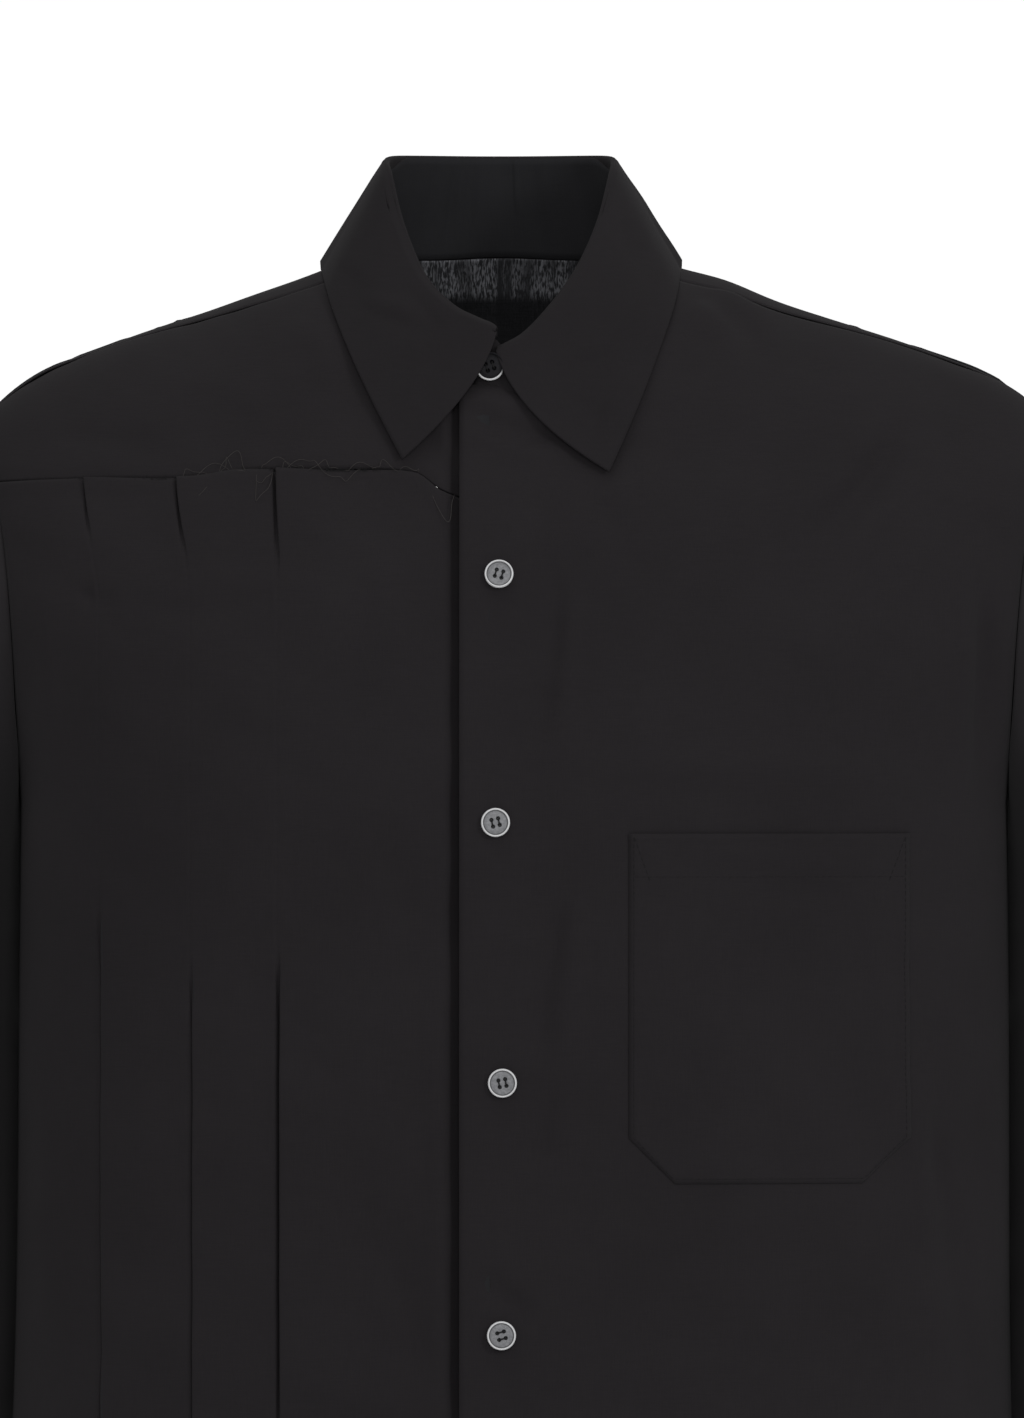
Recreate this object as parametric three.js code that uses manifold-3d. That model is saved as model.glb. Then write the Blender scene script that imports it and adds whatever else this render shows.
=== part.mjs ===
// A long-sleeved shirt dress in black cotton, filled out as it is when worn.
// Millimetres, +Z up, the front faces -Y, and the wearer's right side is on -X.
// The origin lies midway between the two points where the shoulder line meets the neck.
import * as THREE from 'three';
import { mergeVertices } from 'three/addons/utils/BufferGeometryUtils.js';
import Module from 'manifold-3d';

const wasm = await Module();
wasm.setup();

// Cloth and seams
const CLOTH = 1.2;
const STIFF_CLOTH = 1.5;
const SEAM = 0.4;
const SIDE_SEAM = 0.9;
const ARMHOLE_SEAM = 1;
const RESTING = 0.8;

// Garment sizes
const HEM_HEIGHT = -1060;
const UNDERARM_HEIGHT = -245;
const TIP_HALF = 238;
const NECK_HALF = 62;
const NECK_FRONT_DROP = 69;
const NECK_SIDE_HEIGHT = -3;
const NECK_BACK_DEPTH = 45;
const YOKE_HEIGHT = -105;
const FRONT_CROWN = 110;
const BACK_CROWN = 70;
const LEAN = 7;
const LEAN_AT = 219;

// The front opening: the wearer's left front laps over the right one
const LAP = 18;
const LAP_RISE = 0.8;
const UNDER_DIP = 2;
const SEAM_LAP = 0.8;

// Buttons
const BUTTON_RADIUS = 6.4;
const BUTTON_THICK = 2.6;
const BUTTON_PITCH = 111.2;
const FIRST_BUTTON = -144.3;
const FRONT_BUTTONS = 8;

// Pocket on the wearer's left chest
const POCKET = { inner: 55.4, outer: 175.5, top: -258.7, bottom: -411.8, chamfer: 20 };

// Shoulder line: falls evenly from the neck, then rounds off over the tip of the shoulder
const RIDGE = { peak: 22.3, slope: 0.382, soft: 25, roundFrom: 200, round: 0.0087 };

// Body sections: edge is half the width to the armhole or side seam, round is half the width of
// the filled form, front and back are its depths, and square is how boxy its outline is.
const SECTIONS = [
  { height: 60, edge: 238, round: 268, front: 76, back: 68, square: 3 },
  { height: -83, edge: 238, round: 262, front: 84, back: 76, square: 3 },
  { height: -110, edge: 229, round: 252, front: 92, back: 84, square: 3 },
  { height: -132, edge: 224.7, round: 244, front: 98, back: 88, square: 3 },
  { height: -165, edge: 221.5, round: 235, front: 106, back: 93, square: 3 },
  { height: -200, edge: 219.5, round: 225.5, front: 113, back: 97, square: 2.9 },
  { height: -225, edge: 218, round: 219.6, front: 116.5, back: 99, square: 2.8 },
  { height: -245, edge: 217.5, round: 217.5, front: 118, back: 100, square: 2.7 },
  { height: -330, edge: 218, round: 218, front: 119, back: 100, square: 2.5 },
  { height: -520, edge: 220, round: 220, front: 118, back: 101, square: 2.4 },
  { height: -760, edge: 232, round: 232, front: 124, back: 110, square: 2.3 },
  { height: -1060, edge: 252, round: 252, front: 138, back: 126, square: 2.2 },
];

// Soft folds that hang from the chest, hips and back. at is the angle round the body from the
// centre front, positive to the wearer's left, and drift is how far it wanders by the hem.
const DRAPE = [
  { at: 28, drift: 4, wide: 9, deep: 9, from: -430 },
  { at: 62, drift: 6, wide: 8, deep: 13, from: -300 },
  { at: 84, drift: -3, wide: 7, deep: -9, from: -330 },
  { at: 108, drift: 2, wide: 8, deep: 12, from: -420 },
  { at: 138, drift: -5, wide: 10, deep: 13, from: -330 },
  { at: 166, drift: 3, wide: 8, deep: -8, from: -300 },
  { at: -168, drift: -4, wide: 11, deep: 10, from: -380 },
  { at: -139, drift: 5, wide: 9, deep: 14, from: -300 },
  { at: -112, drift: -3, wide: 8, deep: -8, from: -430 },
  { at: -86, drift: 2, wide: 8, deep: 11, from: -350 },
  { at: -57, drift: -4, wide: 9, deep: 10, from: -520 },
  { at: -30, drift: 3, wide: 9, deep: 9, from: -560 },
];

// Three tucks in the wearer's right front, fold edges towards the side seam. shift is how far
// the fold leans out where it meets the chest seam, and ends is where it opens into loose cloth.
const TUCKS = [
  { at: -178.6, shift: -8, ends: -505 },
  { at: -136.7, shift: -7.5, ends: -560 },
  { at: -97.4, shift: -2, ends: -505 },
];
const TUCK_RUN = 32;
const TUCK_STEP = 0.8;
const TUCK_OPEN_TOP = -104;
const TUCK_SHUT = -152;
const TUCK_OPEN_AGAIN = -312;
const TUCK_DEPTHS = { top: 3, middle: 0.9, low: 2.4 };

// Chest seam across the wearer's right front, where the tucked panel meets the plain one
const CHEST_SEAM = [
  { across: 40, height: -112 },
  { across: -24, height: -109 },
  { across: -38, height: -100.6 },
  { across: -75, height: -99.4 },
  { across: -112, height: -99.4 },
  { across: -130, height: -102.4 },
  { across: -180, height: -103 },
  { across: -238, height: -104.5 },
];

// Sleeve: inner and outer are the two sides of each ring as [across, height], depth is half its
// front-to-back size, behind is how far its middle hangs behind the shoulder line, and loose runs
// from 0, the armhole's own shape, to 1, a free oval.
const SLEEVE_RINGS = [
  { inner: [218, -245.6], outer: [238.6, -81.4], depth: 54, behind: 0, loose: 0 },
  { inner: [219.3, -249.5], outer: [256, -102], depth: 50, behind: 4, loose: 0.3 },
  { inner: [219, -256], outer: [268, -132], depth: 52, behind: 10, loose: 0.6 },
  { inner: [218.4, -264], outer: [276, -168], depth: 56, behind: 16, loose: 0.85 },
  { inner: [217.6, -274], outer: [281.5, -206], depth: 58, behind: 22, loose: 1 },
  { inner: [216.6, -290], outer: [285, -248], depth: 59, behind: 28, loose: 1 },
  { inner: [215.2, -316], outer: [286.5, -298], depth: 59, behind: 34, loose: 1 },
  { inner: [213.8, -352], outer: [287, -346], depth: 58, behind: 38, loose: 1 },
  { inner: [213.2, -392], outer: [286, -392], depth: 57, behind: 40, loose: 1 },
  { inner: [213.4, -430], outer: [285, -430], depth: 55, behind: 40, loose: 1 },
  { inner: [214, -470], outer: [284.6, -470], depth: 53, behind: 40, loose: 1 },
  { inner: [215.4, -510], outer: [284, -510], depth: 50, behind: 40, loose: 1 },
  { inner: [218, -548], outer: [283.6, -548], depth: 47, behind: 39, loose: 1 },
  { inner: [221.5, -574], outer: [283, -574], depth: 44, behind: 37, loose: 1 },
  { inner: [225, -589.6], outer: [282, -589.6], depth: 41, behind: 36, loose: 1 },
];
// The back of a sleeve swings in behind the body and its front swings out
const SLEEVE_SWING = 14;
const SLEEVE_SIDES = 20;
const SLEEVE_CREASES = [
  { height: -330, side: 200, tilt: 26, tall: 11, deep: 3.2 },
  { height: -395, side: 60, tilt: -30, tall: 12, deep: 3.6 },
  { height: -440, side: 230, tilt: 22, tall: 11, deep: 3.4 },
  { height: -505, side: 110, tilt: -20, tall: 10, deep: 3 },
  { height: -552, side: 300, tilt: 14, tall: 9, deep: 2.8 },
];
const CUFF = { top: -590, tall: 60, centre: 253.6, across: 27, depth: 41, behind: 36, lap: 16 };
const SLEEVE_SLIT = { top: -452, bottom: -584, side: 252, wide: 20 };

// Collar. fold is the roll line and edge the outer edge; the stand is what rises from the neck.
// The roll's height is given by turns from the centre back, for the wearer's right and left.
const FOLD = { half: 50.5, back: 44, front: 73 };
const FOLD_LINE = [
  { turn: 0, right: 41, left: 41 },
  { turn: 76, right: 40, left: 40 },
  { turn: 90, right: 38.2, left: 38.2 },
  { turn: 104, right: 32, left: 31 },
  { turn: 119, right: 11.8, left: 12 },
  { turn: 138, right: -13, left: -10.6 },
  { turn: 156, right: -27.5, left: -28.4 },
  { turn: 169, right: -33, left: -39.5 },
  { turn: 178, right: -37, left: -44 },
  { turn: 192, right: -54, left: -50 },
];
const COLLAR_EDGE = {
  back: 58,
  side: { half: 80.5, height: -8.6 },
  leftBend: { half: 76, height: -38 },
  rightBend: { half: 72, height: -42 },
  leftTip: { half: 47, height: -99.5 },
  rightTip: { half: 43.5, height: -94 },
};
const ROLL = 2.4;
const FOLD_INSIDE = { back: 15, front: 4 };
const NECK_FRONT_TURNS = [90, 98, 107, 118, 130, 142, 155, 168];
const STAND_TUCK_IN = 2.8;
const COLLAR_CLEAR = 4.2;
const NECK_SEAM = 1.2;
const COLLAR_SEAM = 1.3;
const STAND_OVER_DEG = 192;
const STAND_UNDER_DEG = -189;
const COLLAR_LEFT_END = 178.6;
const COLLAR_RIGHT_END = 177;
const COLLAR_SAG = { across: 16, down: 4 };
const NECK_BUTTON_HEIGHT = -54;
const NECK_BUTTON_ACROSS = -4.8;

const RAD = Math.PI / 180;
const clamp01 = (t) => Math.min(1, Math.max(0, t));
const lerp = (a, b, t) => a + (b - a) * t;
const ease = (t) => clamp01(t) ** 2 * (3 - 2 * clamp01(t));
const spread = (from, to, count) => Array.from({ length: count + 1 }, (_, i) => lerp(from, to, i / count));
const bell = (t) => Math.exp(-t * t);

// Smooth curve through a table's rows, read at a place between them
function through(table, key, column, at) {
  const rising = table[1][key] > table[0][key];
  let i = 0;
  while (i < table.length - 2 && (rising ? at > table[i + 1][key] : at < table[i + 1][key])) i += 1;
  const slope = (k) => {
    const a = table[Math.max(0, k - 1)];
    const b = table[Math.min(table.length - 1, k + 1)];
    return (b[column] - a[column]) / (b[key] - a[key]);
  };
  const span = table[i + 1][key] - table[i][key];
  const t = clamp01((at - table[i][key]) / span);
  const t2 = t * t;
  const t3 = t2 * t;
  return (2 * t3 - 3 * t2 + 1) * table[i][column] + (t3 - 2 * t2 + t) * span * slope(i)
    + (3 * t2 - 2 * t3) * table[i + 1][column] + (t3 - t2) * span * slope(i + 1);
}
const section = (z, column) => through(SECTIONS, 'height', column, z);

// Height of the shoulder line at a distance from the centre
function ridge(x) {
  const past = Math.max(0, Math.abs(x) - RIDGE.roundFrom);
  return RIDGE.peak - RIDGE.slope * Math.hypot(x, RIDGE.soft) - RIDGE.round * past * past;
}

// A column runs down a panel: 0 is the centre front or back and 1 the armhole or side seam
const across = (column, z) => TIP_HALF * column + (section(z, 'edge') - TIP_HALF) * column ** 3;

// Depth of the filled form at a place, from the plane of the shoulder lines
function halfDepth(x, z, face) {
  const crown = face < 0 ? FRONT_CROWN : BACK_CROWN;
  const fallen = clamp01((ridge(x) - z) / crown);
  const square = section(z, 'square');
  const round = Math.max(section(z, 'round'), section(z, 'edge'));
  const share = Math.min(1, Math.abs(x) / round);
  return section(z, face < 0 ? 'front' : 'back') * Math.sqrt(1 - (1 - fallen) ** 2)
    * (1 - share ** square) ** (1 / square);
}

// The cloth hangs a little to the wearer's left, as it does in the photograph
const lean = (x) => x + LEAN * (x / LEAN_AT) ** 2;

// A point of the body's cloth, with the long folds that it drapes in
function onForm(x, z, face) {
  const angle = angleAt(x, z, face);
  const out = drape(angle, z);
  return new THREE.Vector3(
    lean(x) + out * Math.sin(angle * RAD),
    face * (halfDepth(x, z, face) + SIDE_SEAM / 2) - out * Math.cos(angle * RAD),
    z,
  );
}

// Rows over the shoulder are spaced by turn: the slope goes from level at the ridge to upright
// after a quarter turn, and past that a turn is a drop of one crown height.
const turnToDrop = (turn) => (turn < Math.PI / 2 ? 1 - Math.cos(turn) : 1 + turn - Math.PI / 2);
const dropToTurn = (drop) => (drop < 1 ? Math.acos(1 - drop) : drop - 1 + Math.PI / 2);
function turnAt(x, z, face) {
  return dropToTurn(Math.max(0, ridge(x) - z) / (face < 0 ? FRONT_CROWN : BACK_CROWN));
}
const heightAt = (x, turn, face) => ridge(x) - turnToDrop(turn) * (face < 0 ? FRONT_CROWN : BACK_CROWN);

// Front neckline: an oval from the shoulder point down to the centre front
const neckline = (x) => NECK_SIDE_HEIGHT
  - NECK_FRONT_DROP * Math.sqrt(Math.max(0, 1 - (x / NECK_HALF) ** 2));

// The shoulder seam lies a little forward of the ridge, more at the neck than at the tip
const seamDrop = (x) => lerp(7, 1.5, ease((Math.abs(x) - NECK_HALF) / 130));

function frontTop(x) {
  return Math.abs(x) < NECK_HALF - 0.05 ? Math.min(neckline(x), ridge(x) - seamDrop(x)) : ridge(x) - seamDrop(x);
}

// Angle round the body, 0 at the centre front and positive to the wearer's left
function angleAt(x, z, face) {
  const quarter = Math.asin(Math.min(1, Math.abs(x) / section(z, 'edge'))) / RAD;
  return Math.sign(x || 1) * (face < 0 ? quarter : 180 - quarter);
}

// How far the cloth stands out where it drapes, as a sum of long soft folds
function drape(angle, z) {
  return DRAPE.reduce((sum, fold) => {
    const grown = ease((fold.from - z) / (fold.from - HEM_HEIGHT));
    const middle = fold.at + fold.drift * grown;
    const apart = ((angle - middle + 540) % 360) - 180;
    return sum + fold.deep * grown * bell(apart / fold.wide);
  }, 0);
}

// Outward lift along a tuck: a gentle rise to the fold edge and a sudden step down beyond it
function tuckLift(x, z) {
  return TUCKS.reduce((sum, tuck) => {
    const past = x - tuckAt(tuck, z);
    if (past < 0 || past > TUCK_RUN) return sum;
    return sum + tuckDepth(tuck, z) * (1 - past / TUCK_RUN);
  }, 0);
}
const tuckAt = (tuck, z) => tuck.at + tuck.shift * ease((z - TUCK_SHUT) / (TUCK_OPEN_TOP - TUCK_SHUT));
function tuckDepth(tuck, z) {
  const top = lerp(TUCK_DEPTHS.middle, TUCK_DEPTHS.top, ease((z - TUCK_SHUT) / (TUCK_OPEN_TOP - TUCK_SHUT)));
  const low = ease((TUCK_OPEN_AGAIN - z) / 60) * (TUCK_DEPTHS.low - TUCK_DEPTHS.middle);
  return (top + low) * (1 - ease((tuck.ends - z) / 90));
}

// Lifts of the two fronts: the left one rises to its folded edge, the right one dips under it
const leftLift = (x) => LAP_RISE * ease(1 - (x + LAP) / 40);
const rightDip = (x) => -UNDER_DIP * ease((x + 40) / 18);
const rightLowerLift = (x, z) => tuckLift(x, z) + rightDip(x)
  + SEAM_LAP * ease(1 - (chestSeam(x) - z) / 12) * ease((-24 - x) / 16);
const chestSeam = (x) => through(CHEST_SEAM, 'across', 'height', x);

// Normals of a grid of points, by the difference between its neighbours
function gridNormals(rows, closed, flip) {
  const down = rows.length - 1;
  return rows.map((row, i) => row.map((_, j) => {
    const n = row.length;
    const before = closed ? row[(j + n - 1) % n] : row[Math.max(0, j - 1)];
    const after = closed ? row[(j + 1) % n] : row[Math.min(n - 1, j + 1)];
    const along = after.clone().sub(before);
    const fall = rows[Math.min(down, i + 1)][j].clone().sub(rows[Math.max(0, i - 1)][j]);
    return along.cross(fall).normalize().multiplyScalar(flip);
  }));
}

// A closed wall from a grid of outer points: its inner points lie one thickness behind them.
// lift moves both out by a named amount for each point.
function wall(rows, thick, { closed = false, flip = 1, lift = null } = {}) {
  const normals = gridNormals(rows, closed, flip);
  const outer = rows.map((row, i) => row.map((p, j) =>
    p.clone().addScaledVector(normals[i][j], lift ? lift(i, j) : 0)));
  const inner = outer.map((row, i) => row.map((p, j) => p.clone().addScaledVector(normals[i][j], -thick)));
  const wide = rows[0].length;
  const tall = rows.length;
  const points = [...outer.flat(), ...inner.flat()];
  const out = (i, j) => i * wide + (j % wide);
  const back = (i, j) => tall * wide + out(i, j);
  const faces = [];
  const quad = (a, b, c, d) => faces.push(a, b, c, a, c, d);
  const last = closed ? wide : wide - 1;
  for (let i = 0; i < tall - 1; i += 1) {
    for (let j = 0; j < last; j += 1) {
      quad(out(i, j), out(i + 1, j), out(i + 1, j + 1), out(i, j + 1));
      quad(back(i, j), back(i, j + 1), back(i + 1, j + 1), back(i + 1, j));
    }
    if (!closed) {
      quad(out(i, 0), back(i, 0), back(i + 1, 0), out(i + 1, 0));
      quad(out(i, last), out(i + 1, last), back(i + 1, last), back(i, last));
    }
  }
  for (let j = 0; j < last; j += 1) {
    quad(out(0, j), out(0, j + 1), back(0, j + 1), back(0, j));
    quad(out(tall - 1, j), back(tall - 1, j), back(tall - 1, j + 1), out(tall - 1, j + 1));
  }
  return closedGeometry(points, faces);
}

// Geometry with its faces turned outwards, whichever way the grid was wound
function closedGeometry(points, faces) {
  let volume = 0;
  for (let k = 0; k < faces.length; k += 3) {
    const [a, b, c] = [points[faces[k]], points[faces[k + 1]], points[faces[k + 2]]];
    volume += a.dot(b.clone().cross(c));
  }
  if (volume < 0) faces.reverse();
  const geometry = new THREE.BufferGeometry().setFromPoints(points);
  geometry.setIndex(faces);
  geometry.computeVertexNormals();
  return geometry;
}

const MATERIALS = {
  cloth: new THREE.MeshStandardMaterial({ color: 0x262426, roughness: 0.9, metalness: 0 }),
  button: new THREE.MeshStandardMaterial({ color: 0x77767a, roughness: 0.4, metalness: 0 }),
};
const dress = new THREE.Group();
function add(name, geometry, material = MATERIALS.cloth) {
  const mesh = new THREE.Mesh(geometry, material);
  mesh.name = name;
  dress.add(mesh);
  return mesh;
}

// A panel of the body from its column places and the heights of each row in a column.
// Columns are given as distances from the centre at shoulder level.
function panelRows(places, face, heightsOf) {
  const heights = places.map(heightsOf);
  return heights[0].map((_, i) => places.map((place, j) => {
    const z = heights[j][i];
    return { x: across(place / TIP_HALF, z), z, point: onForm(across(place / TIP_HALF, z), z, face) };
  }));
}
function panelWall(rows, liftAt, flip) {
  const points = rows.map((row) => row.map((cell) => cell.point));
  return wall(points, CLOTH, { flip, lift: (i, j) => liftAt(rows[i][j].x, rows[i][j].z) });
}

// Heights down a column from its top to a lower line. marks are the heights that the rows have
// at the armhole, and every column keeps their spacing by turn.
function fallFrom(x, top, bottom, face, marks) {
  const turns = marks.map((z) => turnAt(TIP_HALF, z, face));
  const [first, last] = [turns[0], turns[turns.length - 1]];
  const [from, to] = [turnAt(x, top, face), turnAt(x, bottom, face)];
  return turns.map((turn) => heightAt(x, lerp(from, to, (turn - first) / (last - first)), face));
}
const ARMHOLE_MARKS = spread(0, 180, 10).map((deg) => armholeHeight(deg)).slice(1);

const neckPlaces = spread(0, 90, 6).map((deg) => (NECK_HALF - 0.1) * Math.sin(deg * RAD));
const shoulderPlaces = [74, 92, 114, 138, 162, 184, 203, 218, 228, 234, 238];
const bodyHeights = [-300, -370, -450, -540, -640, -740, -850, -960, HEM_HEIGHT];

function addLeftFront() {
  const places = [-LAP, -9, ...neckPlaces, ...shoulderPlaces];
  const rows = panelRows(places, -1, (x) => [
    ...fallFrom(x, frontTop(x), UNDERARM_HEIGHT, -1, [frontTop(TIP_HALF), ...ARMHOLE_MARKS]), ...bodyHeights,
  ]);
  add('left_front', panelWall(rows, leftLift, -1));
}

// The tucked panel has two columns at each fold, one at its edge and one just beyond it
function addRightFront() {
  const neckSide = neckPlaces.slice(1).reverse().map((x) => -x);
  const upper = [...shoulderPlaces.map((x) => -x).reverse(), ...neckSide, 0, 9, LAP - 2];
  const split = chestSeam(-TIP_HALF);
  const upperMarks = [frontTop(TIP_HALF), ...ARMHOLE_MARKS.filter((z) => z > split + 3), split + SEAM];
  upperMarks.splice(2, 0, (upperMarks[1] + upperMarks[2]) / 2);
  const lowerMarks = [split - SEAM, ...ARMHOLE_MARKS.filter((z) => z < split - 3)];
  const upperRows = panelRows(upper, -1, (x) => fallFrom(x, frontTop(x), chestSeam(x) + SEAM, -1, upperMarks));
  add('right_front_upper', panelWall(upperRows, (x) => rightDip(x), -1));

  const plain = [-238, -234, -228, -218, -206, -192, -158, -118, -76, -58, -42, -30, -22, -10, LAP - 2];
  const folds = TUCKS.flatMap((tuck) => [
    { tuck, off: -TUCK_STEP }, { tuck, off: 0 }, { tuck, off: TUCK_RUN * 0.45 },
  ]);
  const marks = [...plain.map((x) => ({ place: x })), ...folds]
    .sort((a, b) => (a.place ?? a.tuck.at + a.off) - (b.place ?? b.tuck.at + b.off));
  const chest = marks.map(({ place, tuck, off }) => {
    const x = place ?? tuck.at + off;
    return [...fallFrom(x, chestSeam(x) - SEAM, UNDERARM_HEIGHT, -1, lowerMarks), ...bodyHeights];
  });
  const lower = chest[0].map((_, i) => marks.map(({ place, tuck, off }, j) => {
    const z = chest[j][i];
    const x = tuck ? tuckAt(tuck, z) + off : across(place / TIP_HALF, z);
    return { x, z, point: onForm(x, z, -1) };
  }));
  add('right_front_tucked', panelWall(lower, rightLowerLift, -1));
}

// The yoke runs from the shoulder seams in front, over the ridge, to the seam across the back
const backNeck = (x) => {
  const depth = NECK_BACK_DEPTH * Math.sqrt(Math.max(0, 1 - (x / NECK_HALF) ** 2));
  return Math.asin(Math.min(1, depth / section(NECK_SIDE_HEIGHT, 'back')));
};
function addYoke() {
  const half = [20, 36, 48, 56, 60.6, 62.2, 74, 92, 116, 142, 168, 192, 212, 228, 238];
  const places = [...half.map((x) => -x).reverse(), 0, ...half];
  const steps = 9;
  const columns = places.map((place) => {
    const bottom = turnAt(place, YOKE_HEIGHT + SEAM, 1);
    const inNeck = Math.abs(place) < NECK_HALF;
    const top = inNeck ? backNeck(place) : -turnAt(place, ridge(place) - seamDrop(place) + SEAM, -1);
    return spread(top, bottom, steps).map((turn) => {
      const face = turn < 0 ? -1 : 1;
      const z = heightAt(place, Math.abs(turn), face);
      const x = across(place / TIP_HALF, z);
      return new THREE.Vector3(lean(x), face * halfDepth(x, z, face), z);
    });
  });
  const rows = spread(0, steps, steps).map((i) => columns.map((column) => column[i]));
  add('back_yoke', wall(rows, CLOTH, { flip: 1 }));
}

function addBack() {
  const half = [22, 46, 72, 98, 124, 150, 174, 194, 210, 222, 230, 235, 238];
  const places = [...half.map((x) => -x).reverse(), 0, ...half];
  const sides = ARMHOLE_MARKS.filter((z) => z < YOKE_HEIGHT - 3);
  const heights = [YOKE_HEIGHT - SEAM, ...sides, ...bodyHeights];
  const rows = panelRows(places, 1, () => heights);
  add('back', panelWall(rows, () => 0, 1));
}

// The armhole's edge on the body, as a ring: 0 is the shoulder tip and 90 the front
function armholeHeight(deg) {
  const middle = (ridge(TIP_HALF) + UNDERARM_HEIGHT) / 2;
  const reach = (ridge(TIP_HALF) - UNDERARM_HEIGHT) / 2;
  return middle + reach * Math.cos(deg * RAD);
}
function armhole(deg) {
  const z = armholeHeight(deg);
  const face = deg < 180 ? -1 : 1;
  const x = section(z, 'edge');
  return { x, y: face * halfDepth(x, z, face), z };
}

// How far a sleeve swings behind the body, less and less towards the cuff
const swing = (z) => SLEEVE_SWING * (1 - ease((-500 - z) / 89));

// A point of the sleeve at a ring, deg round it, from the shoulder tip by the front
function sleevePoint(ring, deg, side) {
  const [ix, iz] = ring.inner;
  const [ox, oz] = ring.outer;
  const reach = Math.hypot(ox - ix, oz - iz) / 2;
  const up = { x: (ox - ix) / (2 * reach), z: (oz - iz) / (2 * reach) };
  const hole = armhole(deg);
  const first = SLEEVE_RINGS[0];
  const share = (1 + Math.cos(deg * RAD)) / 2;
  const bowed = hole.x + ARMHOLE_SEAM - lerp(first.inner[0], first.outer[0], share);
  const free = 1 - ring.loose;
  const crease = sleeveCrease((iz + oz) / 2, deg);
  const far = reach * Math.cos(deg * RAD) * (1 + crease / reach);
  const turned = Math.sin(deg * RAD);
  const x = (ix + ox) / 2 + up.x * far + up.z * bowed * free + ring.loose * swing(iz) * turned;
  const z = (iz + oz) / 2 + up.z * far - up.x * bowed * free;
  const y = free * hole.y + ring.loose * (ring.behind - (ring.depth + crease) * turned);
  return new THREE.Vector3(lean(side * x), y, z);
}

// Slanting creases round the elbow and above the cuff
function sleeveCrease(z, deg) {
  return SLEEVE_CREASES.reduce((sum, c) => {
    const turn = (((deg - c.side + 540) % 360) - 180) / 180;
    return sum - c.deep * bell((z - c.height - c.tilt * turn) / c.tall) * bell(turn * 1.7);
  }, 0);
}

function addSleeve(name, side) {
  const turns = spread(0, 360, SLEEVE_SIDES).slice(0, -1);
  const rows = SLEEVE_RINGS.map((ring) => turns.map((deg) => sleevePoint(ring, deg, side)));
  add(name + '_sleeve', wall(rows, CLOTH, { closed: true, flip: side }));
}

// The slit in the back of the sleeve above the cuff is bound with a strip, made from the
// sleeve's own points moved out
function addSleeveBinding(name, side) {
  const heights = [SLEEVE_SLIT.top, -470, -490, -510, -530, -548, -566, SLEEVE_SLIT.bottom];
  const rows = heights.map((z) => {
    const i = SLEEVE_RINGS.findIndex((ring) => ring.inner[1] <= z);
    const [a, b] = [SLEEVE_RINGS[i - 1], SLEEVE_RINGS[i]];
    const t = (z - a.inner[1]) / (b.inner[1] - a.inner[1]);
    const girth = lerp(a.depth, b.depth, t);
    const wide = SLEEVE_SLIT.wide / girth / RAD;
    return spread(-wide / 2, wide / 2, 3).map((off) => {
      const deg = SLEEVE_SLIT.side + off;
      return sleevePoint(a, deg, side).lerp(sleevePoint(b, deg, side), t);
    });
  });
  add(name + '_sleeve_binding', wall(rows, CLOTH, { flip: side, lift: () => CLOTH + RESTING }));
}

// A cuff is a band whose ends lap at the back, the upper end outside the lower one
function cuffPoint(turn, down, side) {
  const deg = CUFF_START + turn * CUFF_TURN;
  const out = lerp(-CLOTH, CLOTH, turn);
  const taper = 1 - 0.04 * down;
  const x = CUFF.centre + (CUFF.across * taper + out) * Math.cos(deg * RAD);
  const y = CUFF.behind - (CUFF.depth * taper + out) * Math.sin(deg * RAD);
  return new THREE.Vector3(lean(side * x), y, CUFF.top - CUFF.tall * down);
}
const CUFF_START = 250;
const CUFF_TURN = 360 + CUFF.lap * 1.6;
function addCuff(name, side) {
  const rows = spread(0, 1, 3).map((down) => spread(0, 1, 26).map((turn) => cuffPoint(turn, down, side)));
  add(name + '_cuff', wall(rows, STIFF_CLOTH, { flip: side }));
  const [edge, inwards] = [cuffPoint(0.955, 0.5, side), cuffPoint(0.915, 0.5, side)];
  const out = inwards.clone().sub(edge).cross(new THREE.Vector3(0, 0, side)).normalize();
  addButton(name + '_cuff_button', cuffPoint(0.95, 0.5, side), out);
}

const NECK_TURNS = [...NECK_FRONT_TURNS.map((deg) => -deg).reverse(), ...spread(-80, 80, 10), ...NECK_FRONT_TURNS];

// A point of the neckline, deg round from the centre back to the centre front at 180
function neckPoint(deg) {
  const turn = Math.abs(deg);
  const x = NECK_HALF * Math.sin(deg * RAD);
  if (turn <= 90) {
    const y = NECK_BACK_DEPTH * Math.cos(turn * RAD);
    const z = heightAt(x, Math.asin(Math.min(1, y / section(NECK_SIDE_HEIGHT, 'back'))), 1);
    return new THREE.Vector3(x, y, z);
  }
  const z = Math.min(neckline(x), ridge(x));
  return new THREE.Vector3(x, -halfDepth(x, z, -1), z);
}

// A point of the collar's roll line
function foldPoint(deg) {
  const turn = Math.abs(deg);
  const depth = turn < 90 ? FOLD.back : FOLD.front;
  return new THREE.Vector3(
    FOLD.half * Math.sin(deg * RAD),
    depth * Math.cos(deg * RAD),
    through(FOLD_LINE, 'turn', deg < 0 ? 'right' : 'left', turn),
  );
}

// Away from the neck's axis, level, at an angle round it
function awayFromNeck(deg) {
  return new THREE.Vector3(Math.sin(deg * RAD), Math.cos(deg * RAD), 0);
}

// The under end of the stand turns in behind the over end at the centre front
const spiral = (deg) => (deg < 0 ? -STAND_TUCK_IN * ease((-deg - 138) / 42) : 0);
const insideFold = (deg) => lerp(FOLD_INSIDE.back, FOLD_INSIDE.front, ease((Math.abs(deg) - 70) / 110));

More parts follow.
